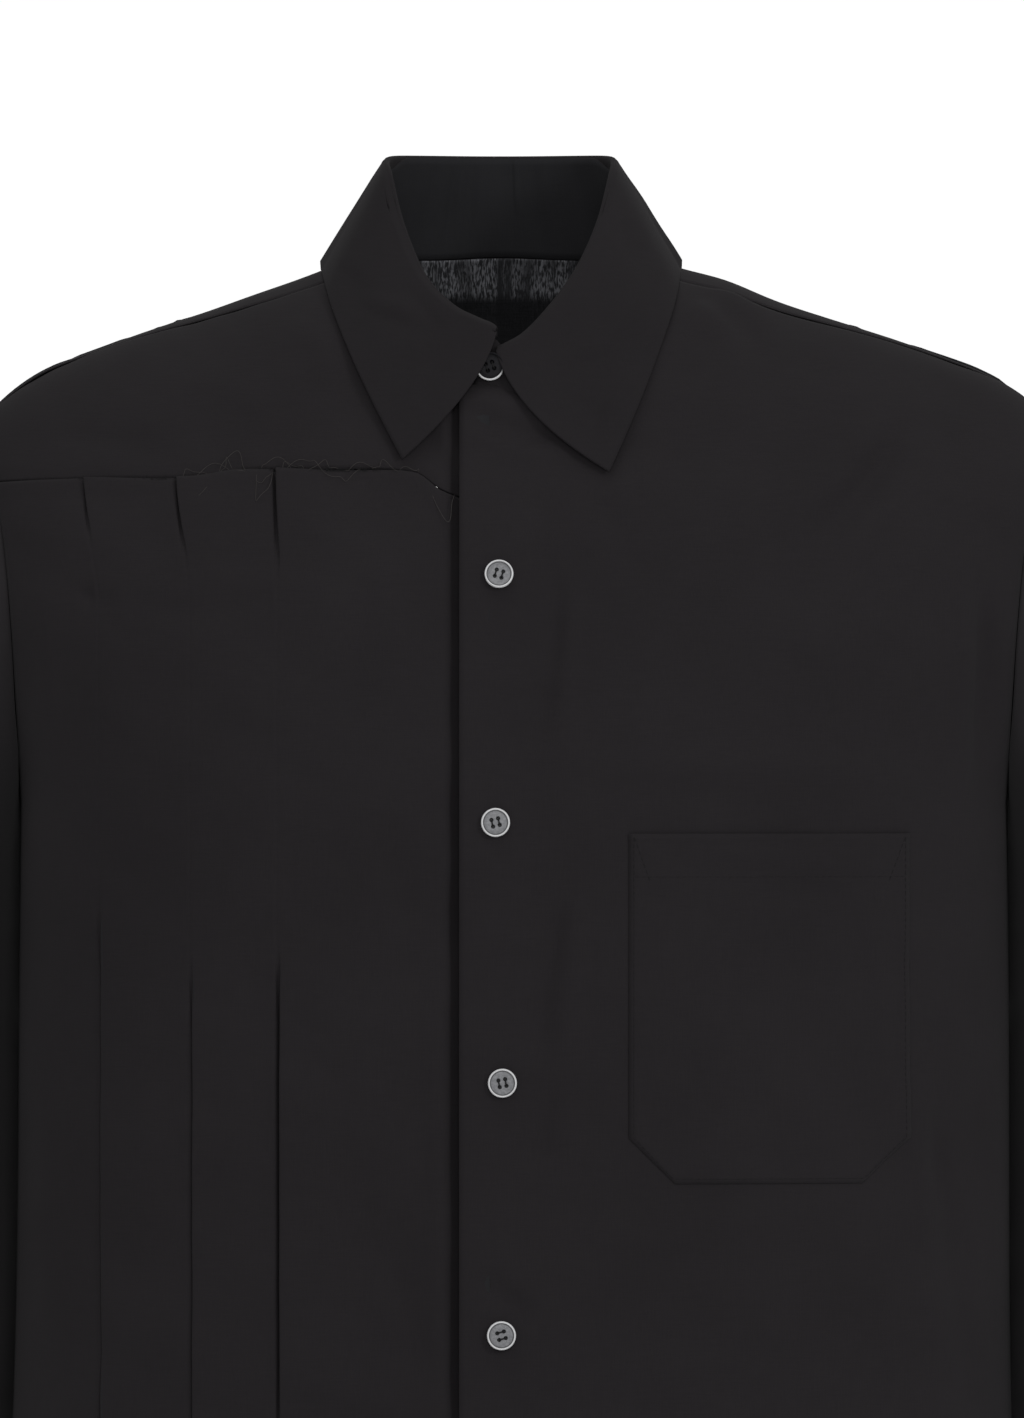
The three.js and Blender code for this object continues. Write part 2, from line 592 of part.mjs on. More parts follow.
function standRow(deg, share) {
  const foot = neckPoint(deg);
  foot.z += NECK_SEAM * 0.8;
  foot.addScaledVector(awayFromNeck(deg), -NECK_SEAM * Math.sqrt(Math.abs(Math.sin(deg * RAD))));
  const top = foldPoint(deg);
  const height = foot.distanceTo(top);
  const reach = (height - insideFold(deg) - COLLAR_SEAM) / height;
  return foot.lerp(top, reach * share).addScaledVector(awayFromNeck(deg), spiral(deg));
}
function addStand() {
  const turns = [STAND_UNDER_DEG, -180, ...NECK_TURNS, 180, STAND_OVER_DEG];
  const rows = spread(0, 1, 3).map((share) => turns.map((deg) => standRow(deg, share)));
  add('collar_stand', wall(rows, STIFF_CLOTH, { flip: -1 }));
}

// Outer edge of the collar, lying just clear of the yoke and the fronts
function collarEdge(deg) {
  const turn = Math.abs(deg);
  const side = COLLAR_EDGE.side;
  if (turn <= 90) {
    const x = side.half * Math.sin(deg * RAD);
    const y = COLLAR_EDGE.back * Math.cos(deg * RAD);
    const z = heightAt(x, Math.asin(Math.min(1, y / section(NECK_SIDE_HEIGHT, 'back'))), 1);
    return new THREE.Vector3(x, y + COLLAR_CLEAR * Math.cos(deg * RAD), z + COLLAR_CLEAR);
  }
  const tip = deg > 0 ? COLLAR_EDGE.leftTip : COLLAR_EDGE.rightTip;
  const bend = deg > 0 ? COLLAR_EDGE.leftBend : COLLAR_EDGE.rightBend;
  const t = (turn - 90) / ((deg > 0 ? COLLAR_LEFT_END : COLLAR_RIGHT_END) - 90);
  const curve = (a, b, c) => a * (1 - t) ** 2 + 2 * b * t * (1 - t) + c * t * t;
  const x = curve(side.half, bend.half, tip.half);
  const z = curve(side.height, bend.height, tip.height);
  return new THREE.Vector3(Math.sign(deg) * x, -halfDepth(x, z, -1) - COLLAR_CLEAR * ease(t * 6), z);
}

// The collar is cut in one with its roll: up inside, over the fold and down to the edge. The
// roll opens towards the front, where the leaves pass over the top button.
function collarColumn(deg) {
  const side = Math.sign(deg);
  const toFront = ease((Math.abs(deg) - 110) / 60);
  const roll = ROLL * (1 + toFront * (side > 0 ? 0.7 : 1));
  const out = awayFromNeck(deg);
  const fold = foldPoint(deg).addScaledVector(out, spiral(deg));
  const foot = neckPoint(deg).addScaledVector(out, spiral(deg));
  const down = foot.sub(fold).normalize();
  const at = (aside, below) => fold.clone().addScaledVector(out, aside).addScaledVector(down, below);
  const inside = [at(0, insideFold(deg)), at(0, insideFold(deg) * 0.5), at(0.1, 1)];
  const over = [at(roll * 0.5, -ROLL * 0.6), at(roll * 1.5, -ROLL * 0.6)];
  const start = at(roll * 2, 1.6);
  const edge = collarEdge(deg);
  const sag = ease((Math.abs(deg) - 132) / 46);
  const middle = start.clone().lerp(edge, 0.45);
  middle.x -= side * COLLAR_SAG.across * sag;
  middle.z -= COLLAR_SAG.down * sag;
  middle.addScaledVector(out, 1.2);
  const leaf = spread(0, 1, 5).map((t) => start.clone().multiplyScalar((1 - t) ** 2)
    .addScaledVector(middle, 2 * t * (1 - t)).addScaledVector(edge, t * t));
  return [...inside, ...over, ...leaf];
}
function addCollar() {
  const turns = [-COLLAR_RIGHT_END, ...NECK_TURNS, COLLAR_LEFT_END];
  const columns = turns.map(collarColumn);
  const rows = columns[0].map((_, i) => columns.map((column) => column[i]));
  add('collar', wall(rows, STIFF_CLOTH, { flip: -1 }));
}

// Pocket, made from the left front's own surface moved out
function addPocket() {
  const { inner, outer, top, bottom, chamfer } = POCKET;
  const heights = [top, top - 21.5, -300, -325, -350, -372, bottom + chamfer, bottom + chamfer / 2, bottom];
  const rows = heights.map((z) => {
    const cut = Math.max(0, bottom + chamfer - z);
    return spread(inner + cut, outer - cut, 8).map((x) => ({ x, z, point: onForm(x, z, -1) }));
  });
  const points = rows.map((row) => row.map((cell) => cell.point));
  const lift = (i, j) => leftLift(rows[i][j].x, rows[i][j].z) + CLOTH + RESTING;
  add('chest_pocket', wall(points, CLOTH, { flip: -1, lift }));
}

// A four-hole button with a raised rim, turned to face along a direction
function addButton(name, seat, facing) {
  const [r, h] = [BUTTON_RADIUS, BUTTON_THICK];
  const profile = [[0, 0], [r * 0.85, 0], [r, h * 0.5], [r * 0.93, h], [r * 0.74, h * 0.7], [0, h * 0.7]]
    .map(([x, y]) => new THREE.Vector2(x, y));
  const blank = solidOf(new THREE.LatheGeometry(profile, 16));
  const drill = new THREE.CylinderGeometry(0.75, 0.75, h * 3, 4);
  const holes = [[1, 1], [1, -1], [-1, 1], [-1, -1]].map(([x, y]) =>
    solidOf(drill.clone().translate(x * 1.35, 0, y * 1.35)));
  const pierced = holes.reduce((button, hole) => button.subtract(hole), blank);
  const mesh = add(name, geometryOf(pierced), MATERIALS.button);
  mesh.quaternion.setFromUnitVectors(new THREE.Vector3(0, 1, 0), facing);
  mesh.position.copy(seat).addScaledVector(facing, SEAM + 0.1);
}
function solidOf(geometry) {
  geometry.deleteAttribute('normal');
  geometry.deleteAttribute('uv');
  const merged = mergeVertices(geometry, 1e-4);
  return new wasm.Manifold(new wasm.Mesh({
    numProp: 3,
    vertProperties: merged.attributes.position.array,
    triVerts: new Uint32Array(merged.index.array),
  }));
}
function geometryOf(solid) {
  const { vertProperties, triVerts } = solid.getMesh();
  const geometry = new THREE.BufferGeometry();
  geometry.setAttribute('position', new THREE.BufferAttribute(vertProperties, 3));
  geometry.setIndex(new THREE.BufferAttribute(triVerts, 1));
  return geometry;
}

function addFrontButtons() {
  for (let k = 0; k < FRONT_BUTTONS; k += 1) {
    const z = FIRST_BUTTON - BUTTON_PITCH * k;
    const [here, above] = [onForm(0, z, -1), onForm(0, z + 20, -1)];
    const facing = new THREE.Vector3(0, -20, above.y - here.y).normalize();
    here.addScaledVector(facing, leftLift(0) + 0.2);
    addButton('front_button_' + (k + 1), here, facing);
  }
  const top = neckPoint(180).lerp(foldPoint(180), 0.6);
  const seat = new THREE.Vector3(NECK_BUTTON_ACROSS, top.y - 0.5, NECK_BUTTON_HEIGHT);
  addButton('neck_button', seat, new THREE.Vector3(-0.05, -1, 0.1).normalize());
}

addLeftFront();
addRightFront();
addYoke();
addBack();
for (const [name, side] of [['left', 1], ['right', -1]]) {
  addSleeve(name, side);
  addSleeveBinding(name, side);
  addCuff(name, side);
}
addStand();
addCollar();
addPocket();
addFrontButtons();

export default dress;
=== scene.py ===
"""Looks of a long-sleeved black cotton shirt dress, filled out as it is when worn.

Shapes are worked out in millimetres: x to the wearer's left, y to the back, z up, with the origin between
the two points where the shoulder line meets the neck. Every piece of cloth is a grid of points that becomes
a thin shell.
"""
import math

import bpy
import numpy as np
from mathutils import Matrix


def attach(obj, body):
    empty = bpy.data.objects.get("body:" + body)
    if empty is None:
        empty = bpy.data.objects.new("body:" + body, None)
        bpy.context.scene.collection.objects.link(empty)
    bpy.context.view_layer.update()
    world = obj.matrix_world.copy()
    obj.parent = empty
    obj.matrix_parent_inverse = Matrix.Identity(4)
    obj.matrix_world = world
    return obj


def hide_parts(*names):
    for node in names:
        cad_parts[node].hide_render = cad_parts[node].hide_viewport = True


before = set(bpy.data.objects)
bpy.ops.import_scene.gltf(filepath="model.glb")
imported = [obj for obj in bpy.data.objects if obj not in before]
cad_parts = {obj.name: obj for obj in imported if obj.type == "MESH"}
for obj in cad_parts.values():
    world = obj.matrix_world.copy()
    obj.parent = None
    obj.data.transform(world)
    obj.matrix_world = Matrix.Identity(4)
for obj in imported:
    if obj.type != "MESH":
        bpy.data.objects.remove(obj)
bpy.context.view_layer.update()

MM = 0.001
RAD = math.pi / 180
SEAM = 0.4
SIDE_SEAM = 0.9
ARMHOLE_SEAM = 0.3
CLOTH = 1.2
THIN = 0.5
HEM_HEIGHT = -1060.0
UNDERARM_HEIGHT = -245.0
TIP_HALF = 238.0
NECK_HALF = 62.0
NECK_FRONT_DROP = 69.0
NECK_SIDE_HEIGHT = -3.0
NECK_BACK_DEPTH = 45.0
COLLAR_HALF = 80.5
FOLD_HALF_LEFT = 48.8
FOLD_HALF_RIGHT = 49.7
YOKE_HEIGHT = -105.0
FRONT_CROWN = 110.0
BACK_CROWN = 70.0
LAP = 18.0
PLACKET = 24.0
HEM_DEPTH = 22.0

# Shoulder line: its peak, slope, how softly it turns over the middle, and where and how fast it falls off
RIDGE_PEAK = 22.3
RIDGE_SLOPE = 0.382
RIDGE_SOFT = 25.0
RIDGE_ROUND_FROM = 200.0
RIDGE_ROUND = 0.0087
SHOULDER_EASE = 3.4
COLLAR_EASE = 2.0
LEAN = 5.6
LEAN_AT = 219.0

# Body sections, from the hem up
SECTION_COLUMNS = ("height", "edge", "round", "front", "back", "square")
SECTIONS = np.array([
    (-1060, 252, 252, 138, 126, 2.2),
    (-760, 232, 232, 124, 110, 2.3),
    (-520, 221, 221, 118, 101, 2.4),
    (-330, 219.2, 219.2, 119, 100, 2.5),
    (-245, 218.3, 218.3, 118, 100, 2.7),
    (-225, 218.5, 220, 116.5, 99, 2.8),
    (-200, 219.5, 225.5, 113, 97, 2.9),
    (-165, 221.5, 235, 106, 93, 3),
    (-132, 224.7, 244, 98, 88, 3),
    (-110, 229, 252, 92, 84, 3),
    (-83, 238, 262, 84, 76, 3),
    (60, 238, 268, 76, 68, 3),
])

# Long soft folds: angle round the body, drift of that angle by the hem, width, depth and where each begins
DRAPE = np.array([
    (28, 4, 9, 9, -430), (62, 6, 8, 13, -300), (84, -3, 7, -9, -330), (108, 2, 8, 12, -420),
    (138, -5, 10, 13, -330), (166, 3, 8, -8, -300), (-168, -4, 11, 10, -380), (-139, 5, 9, 14, -300),
    (-112, -3, 8, -8, -430), (-86, 2, 8, 11, -350), (-57, -4, 9, 10, -520), (-30, 3, 9, 9, -560),
])

# Tucks: at is the fold line and shift how far it leans out at the chest seam. The fold is pressed shut from
# shut to opens, is fullest at full and dies away at dies. It stands top high at the seam and low high where
# it opens, over an under layer that is under deep, with a slot beside it.
TUCKS = (
    dict(at=-178.6, shift=-8.0, shut=-137, opens=-279, full=-330, dies=-503,
         top=1.3, low=0.75, under=2.6, slot=0.35),
    dict(at=-136.7, shift=-7.5, shut=-146, opens=-308, full=-350, dies=-560,
         top=1.6, low=0.95, under=3.3, slot=0.45),
    dict(at=-97.4, shift=-2.0, shut=-152, opens=-306, full=-345, dies=-498,
         top=1.6, low=1.5, under=4.4, slot=1.2),
)
TUCK_RUN = 38.0
# Across one tuck, from the wearer's right: steps aside, share of the tuck's slot, lift as a share of the
# fold's height, and share of the under layer's depth
TUCK_STEPS = np.array([
    (-3.4, 0, 0, 0), (-1.6, -0.5, -0.15, 0), (-0.55, -1, -0.5, 0), (-0.45, -1, -1.5, 0.05),
    (-0.4, -0.9, -2.0, 0.3), (0, 0, -2.1, 0.7), (0, 0, -1.6, 1.0), (0, 0, -0.8, 1.0), (0, 0, -0.1, 0.7),
    (-0.1, 0, 0.4, 0.25), (-0.45, 0, 0.72, 0), (-0.2, 0, 0.93, 0), (0.5, 0, 1.0, 0),
])
TUCK_SHUT = np.linspace(-3.4, 0.5, len(TUCK_STEPS))
CHEST_SEAM = np.array([
    (-238, -104.5), (-180, -103), (-130, -102.4), (-112, -99.4), (-75, -99.4), (-38, -100.6), (-24, -109),
    (40, -112),
])

# Soft folds on the panels: two ends, width, depth, less than nothing for a trough, and bow of the line
LEFT_FOLDS = np.array([
    (171, -84, 130, -134, 7, -1.9, 3), (183, -94, 142, -144, 9, 1.0, 2), (160, -78, 118, -126, 8, 0.9, 2),
    (128, -138, 112, -176, 9, -0.9, 2), (207, -156, 207, -236, 6, -3.4, 2),
    (200, -170, 198, -280, 8, 1.2, 0), (24, -150, 16, -214, 5, -1.2, 2), (31, -160, 24, -232, 6, 0.8, -1),
    (26, -290, 17, -352, 5, -1.3, -2), (33, -288, 25, -360, 6, 0.7, 1), (21, -372, 16, -402, 5, -0.8, 0),
    (88, -22, 112, -44, 6, -1.6, 3), (80, -36, 104, -20, 5, 1.0, 1), (72, -58, 96, -36, 7, -1.1, 0),
    (186, -388, 196, -452, 6, -1.9, -2), (194, -452, 200, -520, 7, -1.3, 1),
    (177, -372, 188, -440, 8, 1.2, 0), (208, -330, 214, -470, 6, 1.2, 0),
    (60, -232, 172, -238, 9, 0.7, 5), (60, -226, 66, -160, 8, 0.5, 0), (-8, -452, 12, -470, 5, -0.9, 0),
    (70, -440, 160, -425, 12, 0.8, 8), (40, -110, 62, -150, 10, -0.7, 3),
    (-16, -72, 24, -84, 5, -1.0, -3), (-10, -84, 30, -92, 6, 0.8, -2), (110, -160, 160, -200, 14, 0.7, 4),
])
POCKET_FOLDS = np.array([
    (158, -300, 166, -400, 4, 0.9, 2), (168, -270, 171, -330, 3.5, -0.8, 0),
    (146, -350, 152, -405, 6, -0.9, 1), (128, -360, 136, -400, 7, 0.6, 1),
    (96, -268, 142, -276, 5, 0.6, 3), (110, -286, 150, -284, 6, -0.5, 2), (72, -300, 70, -390, 9, 0.5, 0),
    (160, -392, 176, -340, 4, -0.6, 2), (176, -262, 180, -282, 3, 0.8, 0),
])
RIGHT_FOLDS = np.array([
    (-180, -150, -40, -158, 9, 0.6, 4), (-90, -150, -150, -162, 6, -0.5, 2),
    (-190, -152, -178, -158, 4, -0.8, 0), (-204, -160, -208, -270, 8, 0.9, 2),
    (-60, -130, -44, -190, 10, 0.7, 2), (-52, -260, -40, -330, 9, -0.6, 3),
    (-80, -330, -50, -420, 14, 0.8, 4), (-48, -440, -30, -500, 8, -0.8, -2),
    (-215, -330, -206, -480, 7, 0.9, 3), (-120, -330, -116, -470, 9, 0.5, 0),
    (-160, -340, -154, -470, 9, 0.5, 0), (-30, -330, -28, -520, 5, 0.7, 1),
])
SHOULDER_FOLDS = np.array([
    (-90, -34, -72, -60, 8, 0.7, 2), (-140, -60, -60, -88, 10, 0.5, 4),
    (-200, -84, -150, -92, 7, -0.7, 2), (-70, -40, -64, -80, 6, -0.7, 1),
    (-40, -78, -20, -98, 6, -0.8, 2), (-28, -84, -10, -96, 5, 0.7, 0),
])
BACK_FOLDS = np.array([
    (-60, -112, -66, -420, 12, 2.2, 6), (64, -112, 70, -460, 13, 2.4, -6),
    (-20, -120, -14, -330, 10, -1.4, 3), (24, -116, 20, -380, 9, 1.2, 2),
    (150, -130, 188, -270, 11, 1.8, 6), (-148, -132, -190, -280, 11, 1.9, -5),
    (176, -150, 206, -236, 7, -1.8, 3), (-174, -152, -205, -240, 7, -1.7, -3),
    (-120, -200, -100, -520, 15, -1.6, 5), (118, -220, 100, -540, 14, -1.5, -5),
    (-180, -300, -168, -620, 12, 1.8, 4), (182, -320, 170, -640, 12, 1.7, -4),
])
YOKE_FOLDS = np.array([
    (-150, -50, -90, -70, 9, 0.8, 3), (150, -52, 92, -68, 9, 0.8, -3), (-40, -60, 44, -64, 12, 0.7, 4),
    (-190, -80, -150, -96, 7, -0.8, 2), (192, -82, 150, -98, 7, -0.8, -2),
])
COLLAR_FOLDS = np.array([
    (-62, -24, -38, -31, 3.5, -0.7, 1.5), (-56, -32, -34, -38, 4, 0.5, 1),
    (-40, -18, -28, -40, 5, 0.5, 2), (-70, -8, -60, -30, 6, 0.5, 1), (60, -20, 36, -52, 6, -0.7, 2),
    (46, -48, 22, -62, 5, 0.6, -1), (68, -18, 60, -60, 5, 0.5, 2), (56, -62, 46, -86, 4, -0.6, -2),
    (30, -66, 48, -80, 4, 0.4, 0), (52, 14, 62, -8, 5, 0.5, 0), (-52, 14, -64, -6, 5, 0.4, 0),
])


def ease(t):
    """Smooth step from 0 to 1: t^2 (3 - 2 t)."""
    t = np.clip(t, 0, 1)
    return t * t * (3 - 2 * t)


def through(places, values, at):
    """Hermite curve through (place, value) pairs in rising order; a slope is that of the two neighbours."""
    places, values, at = np.asarray(places, float), np.asarray(values, float), np.asarray(at, float)
    after = np.minimum(np.arange(len(places)) + 1, len(places) - 1)
    before = np.maximum(np.arange(len(places)) - 1, 0)
    slope = (values[after] - values[before]) / (places[after] - places[before])
    k = np.clip(np.searchsorted(places, at) - 1, 0, len(places) - 2)
    span = places[k + 1] - places[k]
    t = np.clip((at - places[k]) / span, 0, 1)
    return ((2 * t**3 - 3 * t**2 + 1) * values[k] + (t**3 - 2 * t**2 + t) * span * slope[k]
            + (3 * t**2 - 2 * t**3) * values[k + 1] + (t**3 - t**2) * span * slope[k + 1])


def section(z, column):
    """A column of the body's sections at a height."""
    return through(SECTIONS[:, 0], SECTIONS[:, SECTION_COLUMNS.index(column)], z)


def ridge(x):
    """Height of the shoulder line: peak - slope sqrt(x^2 + soft^2), rounded off far out, with the cloth a
    little higher towards the sleeves and beside the wearer's left of the collar."""
    past = np.maximum(0, np.abs(x) - RIDGE_ROUND_FROM)
    line = RIDGE_PEAK - RIDGE_SLOPE * np.hypot(x, RIDGE_SOFT) - RIDGE_ROUND * past**2
    return line + SHOULDER_EASE * ease((np.abs(x) - 90) / 110) + COLLAR_EASE * np.exp(-((x - 98) / 16)**2)


def across(place, z):
    """Distance from the centre of a column that is at place where the shoulders are widest."""
    column = place / TIP_HALF
    return TIP_HALF * column + (section(z, "edge") - TIP_HALF) * column**3


def half_depth(x, z, face):
    """Depth D sqrt(1 - (1 - s)^2) (1 - |x/W|^n)^(1/n), where s is the drop below the ridge in crowns."""
    crown = np.where(face < 0, FRONT_CROWN, BACK_CROWN)
    fallen = np.clip((ridge(x) - z) / crown, 0, 1)
    square = section(z, "square")
    share = np.minimum(1, np.abs(x) / np.maximum(section(z, "round"), section(z, "edge")))
    depth = np.where(face < 0, section(z, "front"), section(z, "back"))
    return depth * np.sqrt(1 - (1 - fallen)**2) * (1 - share**square)**(1 / square)


def lean(x):
    """The cloth hangs a little to the wearer's left."""
    return x + LEAN * (x / LEAN_AT)**2


def drape(angle, z):
    """How far the cloth stands out: a sum of depth exp(-((angle - middle) / width)^2), growing to the hem."""
    total = np.zeros(np.broadcast(angle, z).shape)
    for at, drift, wide, deep, start in DRAPE:
        grown = ease((start - z) / (start - HEM_HEIGHT))
        apart = (angle - at - drift * grown + 540) % 360 - 180
        total += deep * grown * np.exp(-(apart / wide)**2)
    return total


def on_form(x, z, face):
    """Points of the body's cloth at (x, z) on its front (face -1) or back (face 1)."""
    quarter = np.degrees(np.arcsin(np.minimum(1, np.abs(x) / section(z, "edge"))))
    angle = np.where(x < 0, -1, 1) * np.where(face < 0, quarter, 180 - quarter)
    out = drape(angle, z)
    y = face * (half_depth(x, z, face) + SIDE_SEAM / 2) - out * np.cos(angle * RAD)
    return np.stack([lean(x) + out * np.sin(angle * RAD), y, z + 0 * x], -1)


def turn_to_height(x, turn, face):
    """Height below the ridge after a turn: a quarter turn is one crown, and more goes straight down."""
    drop = np.where(turn < math.pi / 2, 1 - np.cos(turn), 1 + turn - math.pi / 2)
    return ridge(x) - drop * np.where(face < 0, FRONT_CROWN, BACK_CROWN)


def turn_at(x, z, face):
    """Turn from the ridge to a height, the inverse of turn_to_height."""
    drop = np.maximum(0, ridge(x) - z) / np.where(face < 0, FRONT_CROWN, BACK_CROWN)
    return np.where(drop < 1, np.arccos(np.clip(1 - drop, -1, 1)), drop - 1 + math.pi / 2)


def neckline(x):
    """Front neckline, an oval: -3 - 69 sqrt(1 - (x / 62)^2)."""
    return NECK_SIDE_HEIGHT - NECK_FRONT_DROP * np.sqrt(np.maximum(0, 1 - (x / NECK_HALF)**2))


def seam_drop(x):
    """How far the shoulder seam lies below the ridge in front."""
    return 7 - 5.5 * ease((np.abs(x) - NECK_HALF) / 130)


def front_top(x):
    """Top edge of a front: the neckline, then the shoulder seam."""
    shoulder = ridge(x) - seam_drop(x)
    return np.where(np.abs(x) < NECK_HALF - 0.05, np.minimum(neckline(x), shoulder), shoulder)


def chest_seam(x):
    """Height of the raw seam across the wearer's right chest."""
    return through(CHEST_SEAM[:, 0], CHEST_SEAM[:, 1], x)


def soft_folds(x, z, table):
    """Sum of folds: depth exp(-(off / width)^2) along a bowed line, tapered at both ends."""
    total = np.zeros(np.broadcast(x, z).shape)
    for x0, z0, x1, z1, wide, deep, bow in table:
        dx, dz = x1 - x0, z1 - z0
        long = math.hypot(dx, dz)
        t = ((x - x0) * dx + (z - z0) * dz) / long**2
        off = ((x - x0) * dz - (z - z0) * dx) / long + bow * 4 * t * (1 - t)
        ends = ease((t + 0.2) / 0.5) * ease((1.2 - t) / 0.5)
        total += deep * np.exp(-(off / (wide * (0.75 + 0.5 * np.clip(t, 0, 1))))**2) * ends
    return total


def uneven(x, z, seed, size, deep):
    """Slight unevenness: nine waves in random directions, of lengths about size."""
    rng = np.random.default_rng(seed)
    total = 0
    for _ in range(9):
        way, phase, length = rng.uniform(0, math.pi), rng.uniform(0, 6.28), size * rng.uniform(0.6, 1.7)
        wander = 0.8 * np.sin(x / (size * 1.9) + phase) + 0.8 * np.sin(z / (size * 2.3) - phase)
        along = x * math.cos(way) + z * math.sin(way)
        total = total + np.sin(2 * math.pi * along / length + phase + wander)
    return deep * total / 3


def normals(points, flip=1, wrap=False):
    """Unit normals of a grid, from the cross product of its two directions."""
    if wrap:
        along = np.roll(points, -1, 1) - np.roll(points, 1, 1)
    else:
        along = np.gradient(points, axis=1)
    n = np.cross(along, np.gradient(points, axis=0))
    return flip * n / np.maximum(np.linalg.norm(n, axis=-1, keepdims=True), 1e-9)


def moved_out(points, lift, flip=1, wrap=False):
    """A grid moved along its normals."""
    return points + normals(points, flip, wrap) * lift[..., None]


def make_object(name, points, faces, material, smooth=True):
    """A mesh object from points in millimetres and an array of faces with equal corner counts."""
    mesh = bpy.data.meshes.new(name)
    count = faces.shape[1]
    mesh.vertices.add(len(points))
    mesh.vertices.foreach_set("co", (np.asarray(points) * MM).astype(np.float32).ravel())
    mesh.loops.add(faces.size)
    mesh.loops.foreach_set("vertex_index", faces.astype(np.int32).ravel())
    mesh.polygons.add(len(faces))
    mesh.polygons.foreach_set("loop_start", np.arange(0, faces.size, count, dtype=np.int32))
    mesh.polygons.foreach_set("use_smooth", np.full(len(faces), smooth))
    mesh.update(calc_edges=True)
    mesh.validate()
    obj = bpy.data.objects.new(name, mesh)
    bpy.context.scene.collection.objects.link(obj)
    mesh.materials.append(material)
    return obj


def grid_faces(rows, columns, wrap=False, flip=1):
    """Quads of a grid, wound so that they face the same way as normals() with the same flip."""
    r, c = np.meshgrid(np.arange(rows - 1), np.arange(columns if wrap else columns - 1), indexing="ij")
    a, b = r * columns + c, r * columns + (c + 1) % columns
    quads = np.stack([a, b, b + columns, a + columns], -1).reshape(-1, 4)
    return quads if flip > 0 else quads[:, ::-1]


def cloth(name, node, points, material, flip=1, wrap=False, thick=THIN, inside=None):
    """A thin shell on a grid of outer points; inside is the material of its hidden face."""
    shape = points.shape
    obj = make_object(name, points.reshape(-1, 3), grid_faces(shape[0], shape[1], wrap, flip), material)
    shell = obj.modifiers.new("thickness", "SOLIDIFY")
    shell.thickness = thick * MM
    shell.offset = -1
    if inside:
        obj.data.materials.append(inside)
        shell.material_offset = 1
    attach(obj, "root")
    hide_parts(node)
    return obj


def tubes(name, paths, radius, material, sides=5):
    """Thin round threads, one along each path of points; every path has the same number of points."""
    paths = np.asarray(paths, float)
    ways = np.gradient(paths, axis=1)
    ways /= np.maximum(np.linalg.norm(ways, axis=-1, keepdims=True), 1e-9)
    aside = np.cross(ways, np.array([0.31, 0.87, 0.38]))
    aside /= np.maximum(np.linalg.norm(aside, axis=-1, keepdims=True), 1e-9)
    up = np.cross(ways, aside)
    turns = np.arange(sides) * 2 * math.pi / sides
    taper = np.ones(paths.shape[1])
    taper[[0, -1]] = 0.35
    ring = np.cos(turns)[:, None] * aside[:, :, None] + np.sin(turns)[:, None] * up[:, :, None]
    points = (paths[:, :, None] + radius * taper[None, :, None, None] * ring).reshape(-1, 3)
    quads = grid_faces(paths.shape[1], sides, wrap=True)
    faces = np.concatenate([quads + k * paths.shape[1] * sides for k in range(len(paths))])
    obj = make_object(name, points, faces, material)
    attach(obj, "root")
    return obj


def sample(points, u, v):
    """Points of a grid at fractional rows u and columns v."""
    i, j = np.clip(u.astype(int), 0, points.shape[0] - 2), np.clip(v.astype(int), 0, points.shape[1] - 2)
    s, t = (u - i)[:, None], (v - j)[:, None]
    return ((points[i, j] * (1 - t) + points[i, j + 1] * t) * (1 - s)
            + (points[i + 1, j] * (1 - t) + points[i + 1, j + 1] * t) * s)


def stitches(name, grid, flip, lines, material, pitch=2.9, radius=0.17, wrap=False):
    """Rows of stitches on a grid. Each line is (rows, columns), two arrays of fractional places along it."""
    lifted = grid + normals(grid, flip, wrap) * radius * 0.5
    paths = []
    for u, v in lines:
        fine = np.linspace(0, 1, 900)
        along = np.linspace(0, 1, len(u))
        walk = sample(lifted, np.interp(fine, along, u), np.interp(fine, along, v))
        run = np.concatenate([[0], np.cumsum(np.linalg.norm(np.diff(walk, axis=0), axis=1))])
        count = max(1, int(run[-1] / pitch))
        starts = (np.arange(count) + 0.15) * run[-1] / count
        ends = starts + 0.7 * run[-1] / count
        places = starts[:, None] + (ends - starts)[:, None] * np.array([0, 0.25, 0.5, 0.75, 1])
        paths.append(np.stack([np.interp(places, run, walk[:, k]) for k in range(3)], -1))
    return tubes(name, np.concatenate(paths), radius, material, sides=4)


class Value:
    """A shader value: arithmetic on it adds Math nodes."""

    def __init__(self, shader, socket):
        self.shader, self.socket = shader, socket

    def math(self, operation, *others):
        return self.shader.node("ShaderNodeMath", {"operation": operation}, [self, *others])

    def __add__(self, other):
        return self.math("ADD", other)

    def __sub__(self, other):
        return self.math("SUBTRACT", other)

    def __mul__(self, other):
        return self.math("MULTIPLY", other)

    def __rsub__(self, other):
        return (self * -1).math("ADD", other)

    __radd__ = __add__
    __rmul__ = __mul__

    def above(self, low, high):
        """0 below low, 1 above high."""
        settings = {"interpolation_type": "SMOOTHSTEP"}
        return self.shader.node("ShaderNodeMapRange", settings, [self, low, high, 0.0, 1.0])


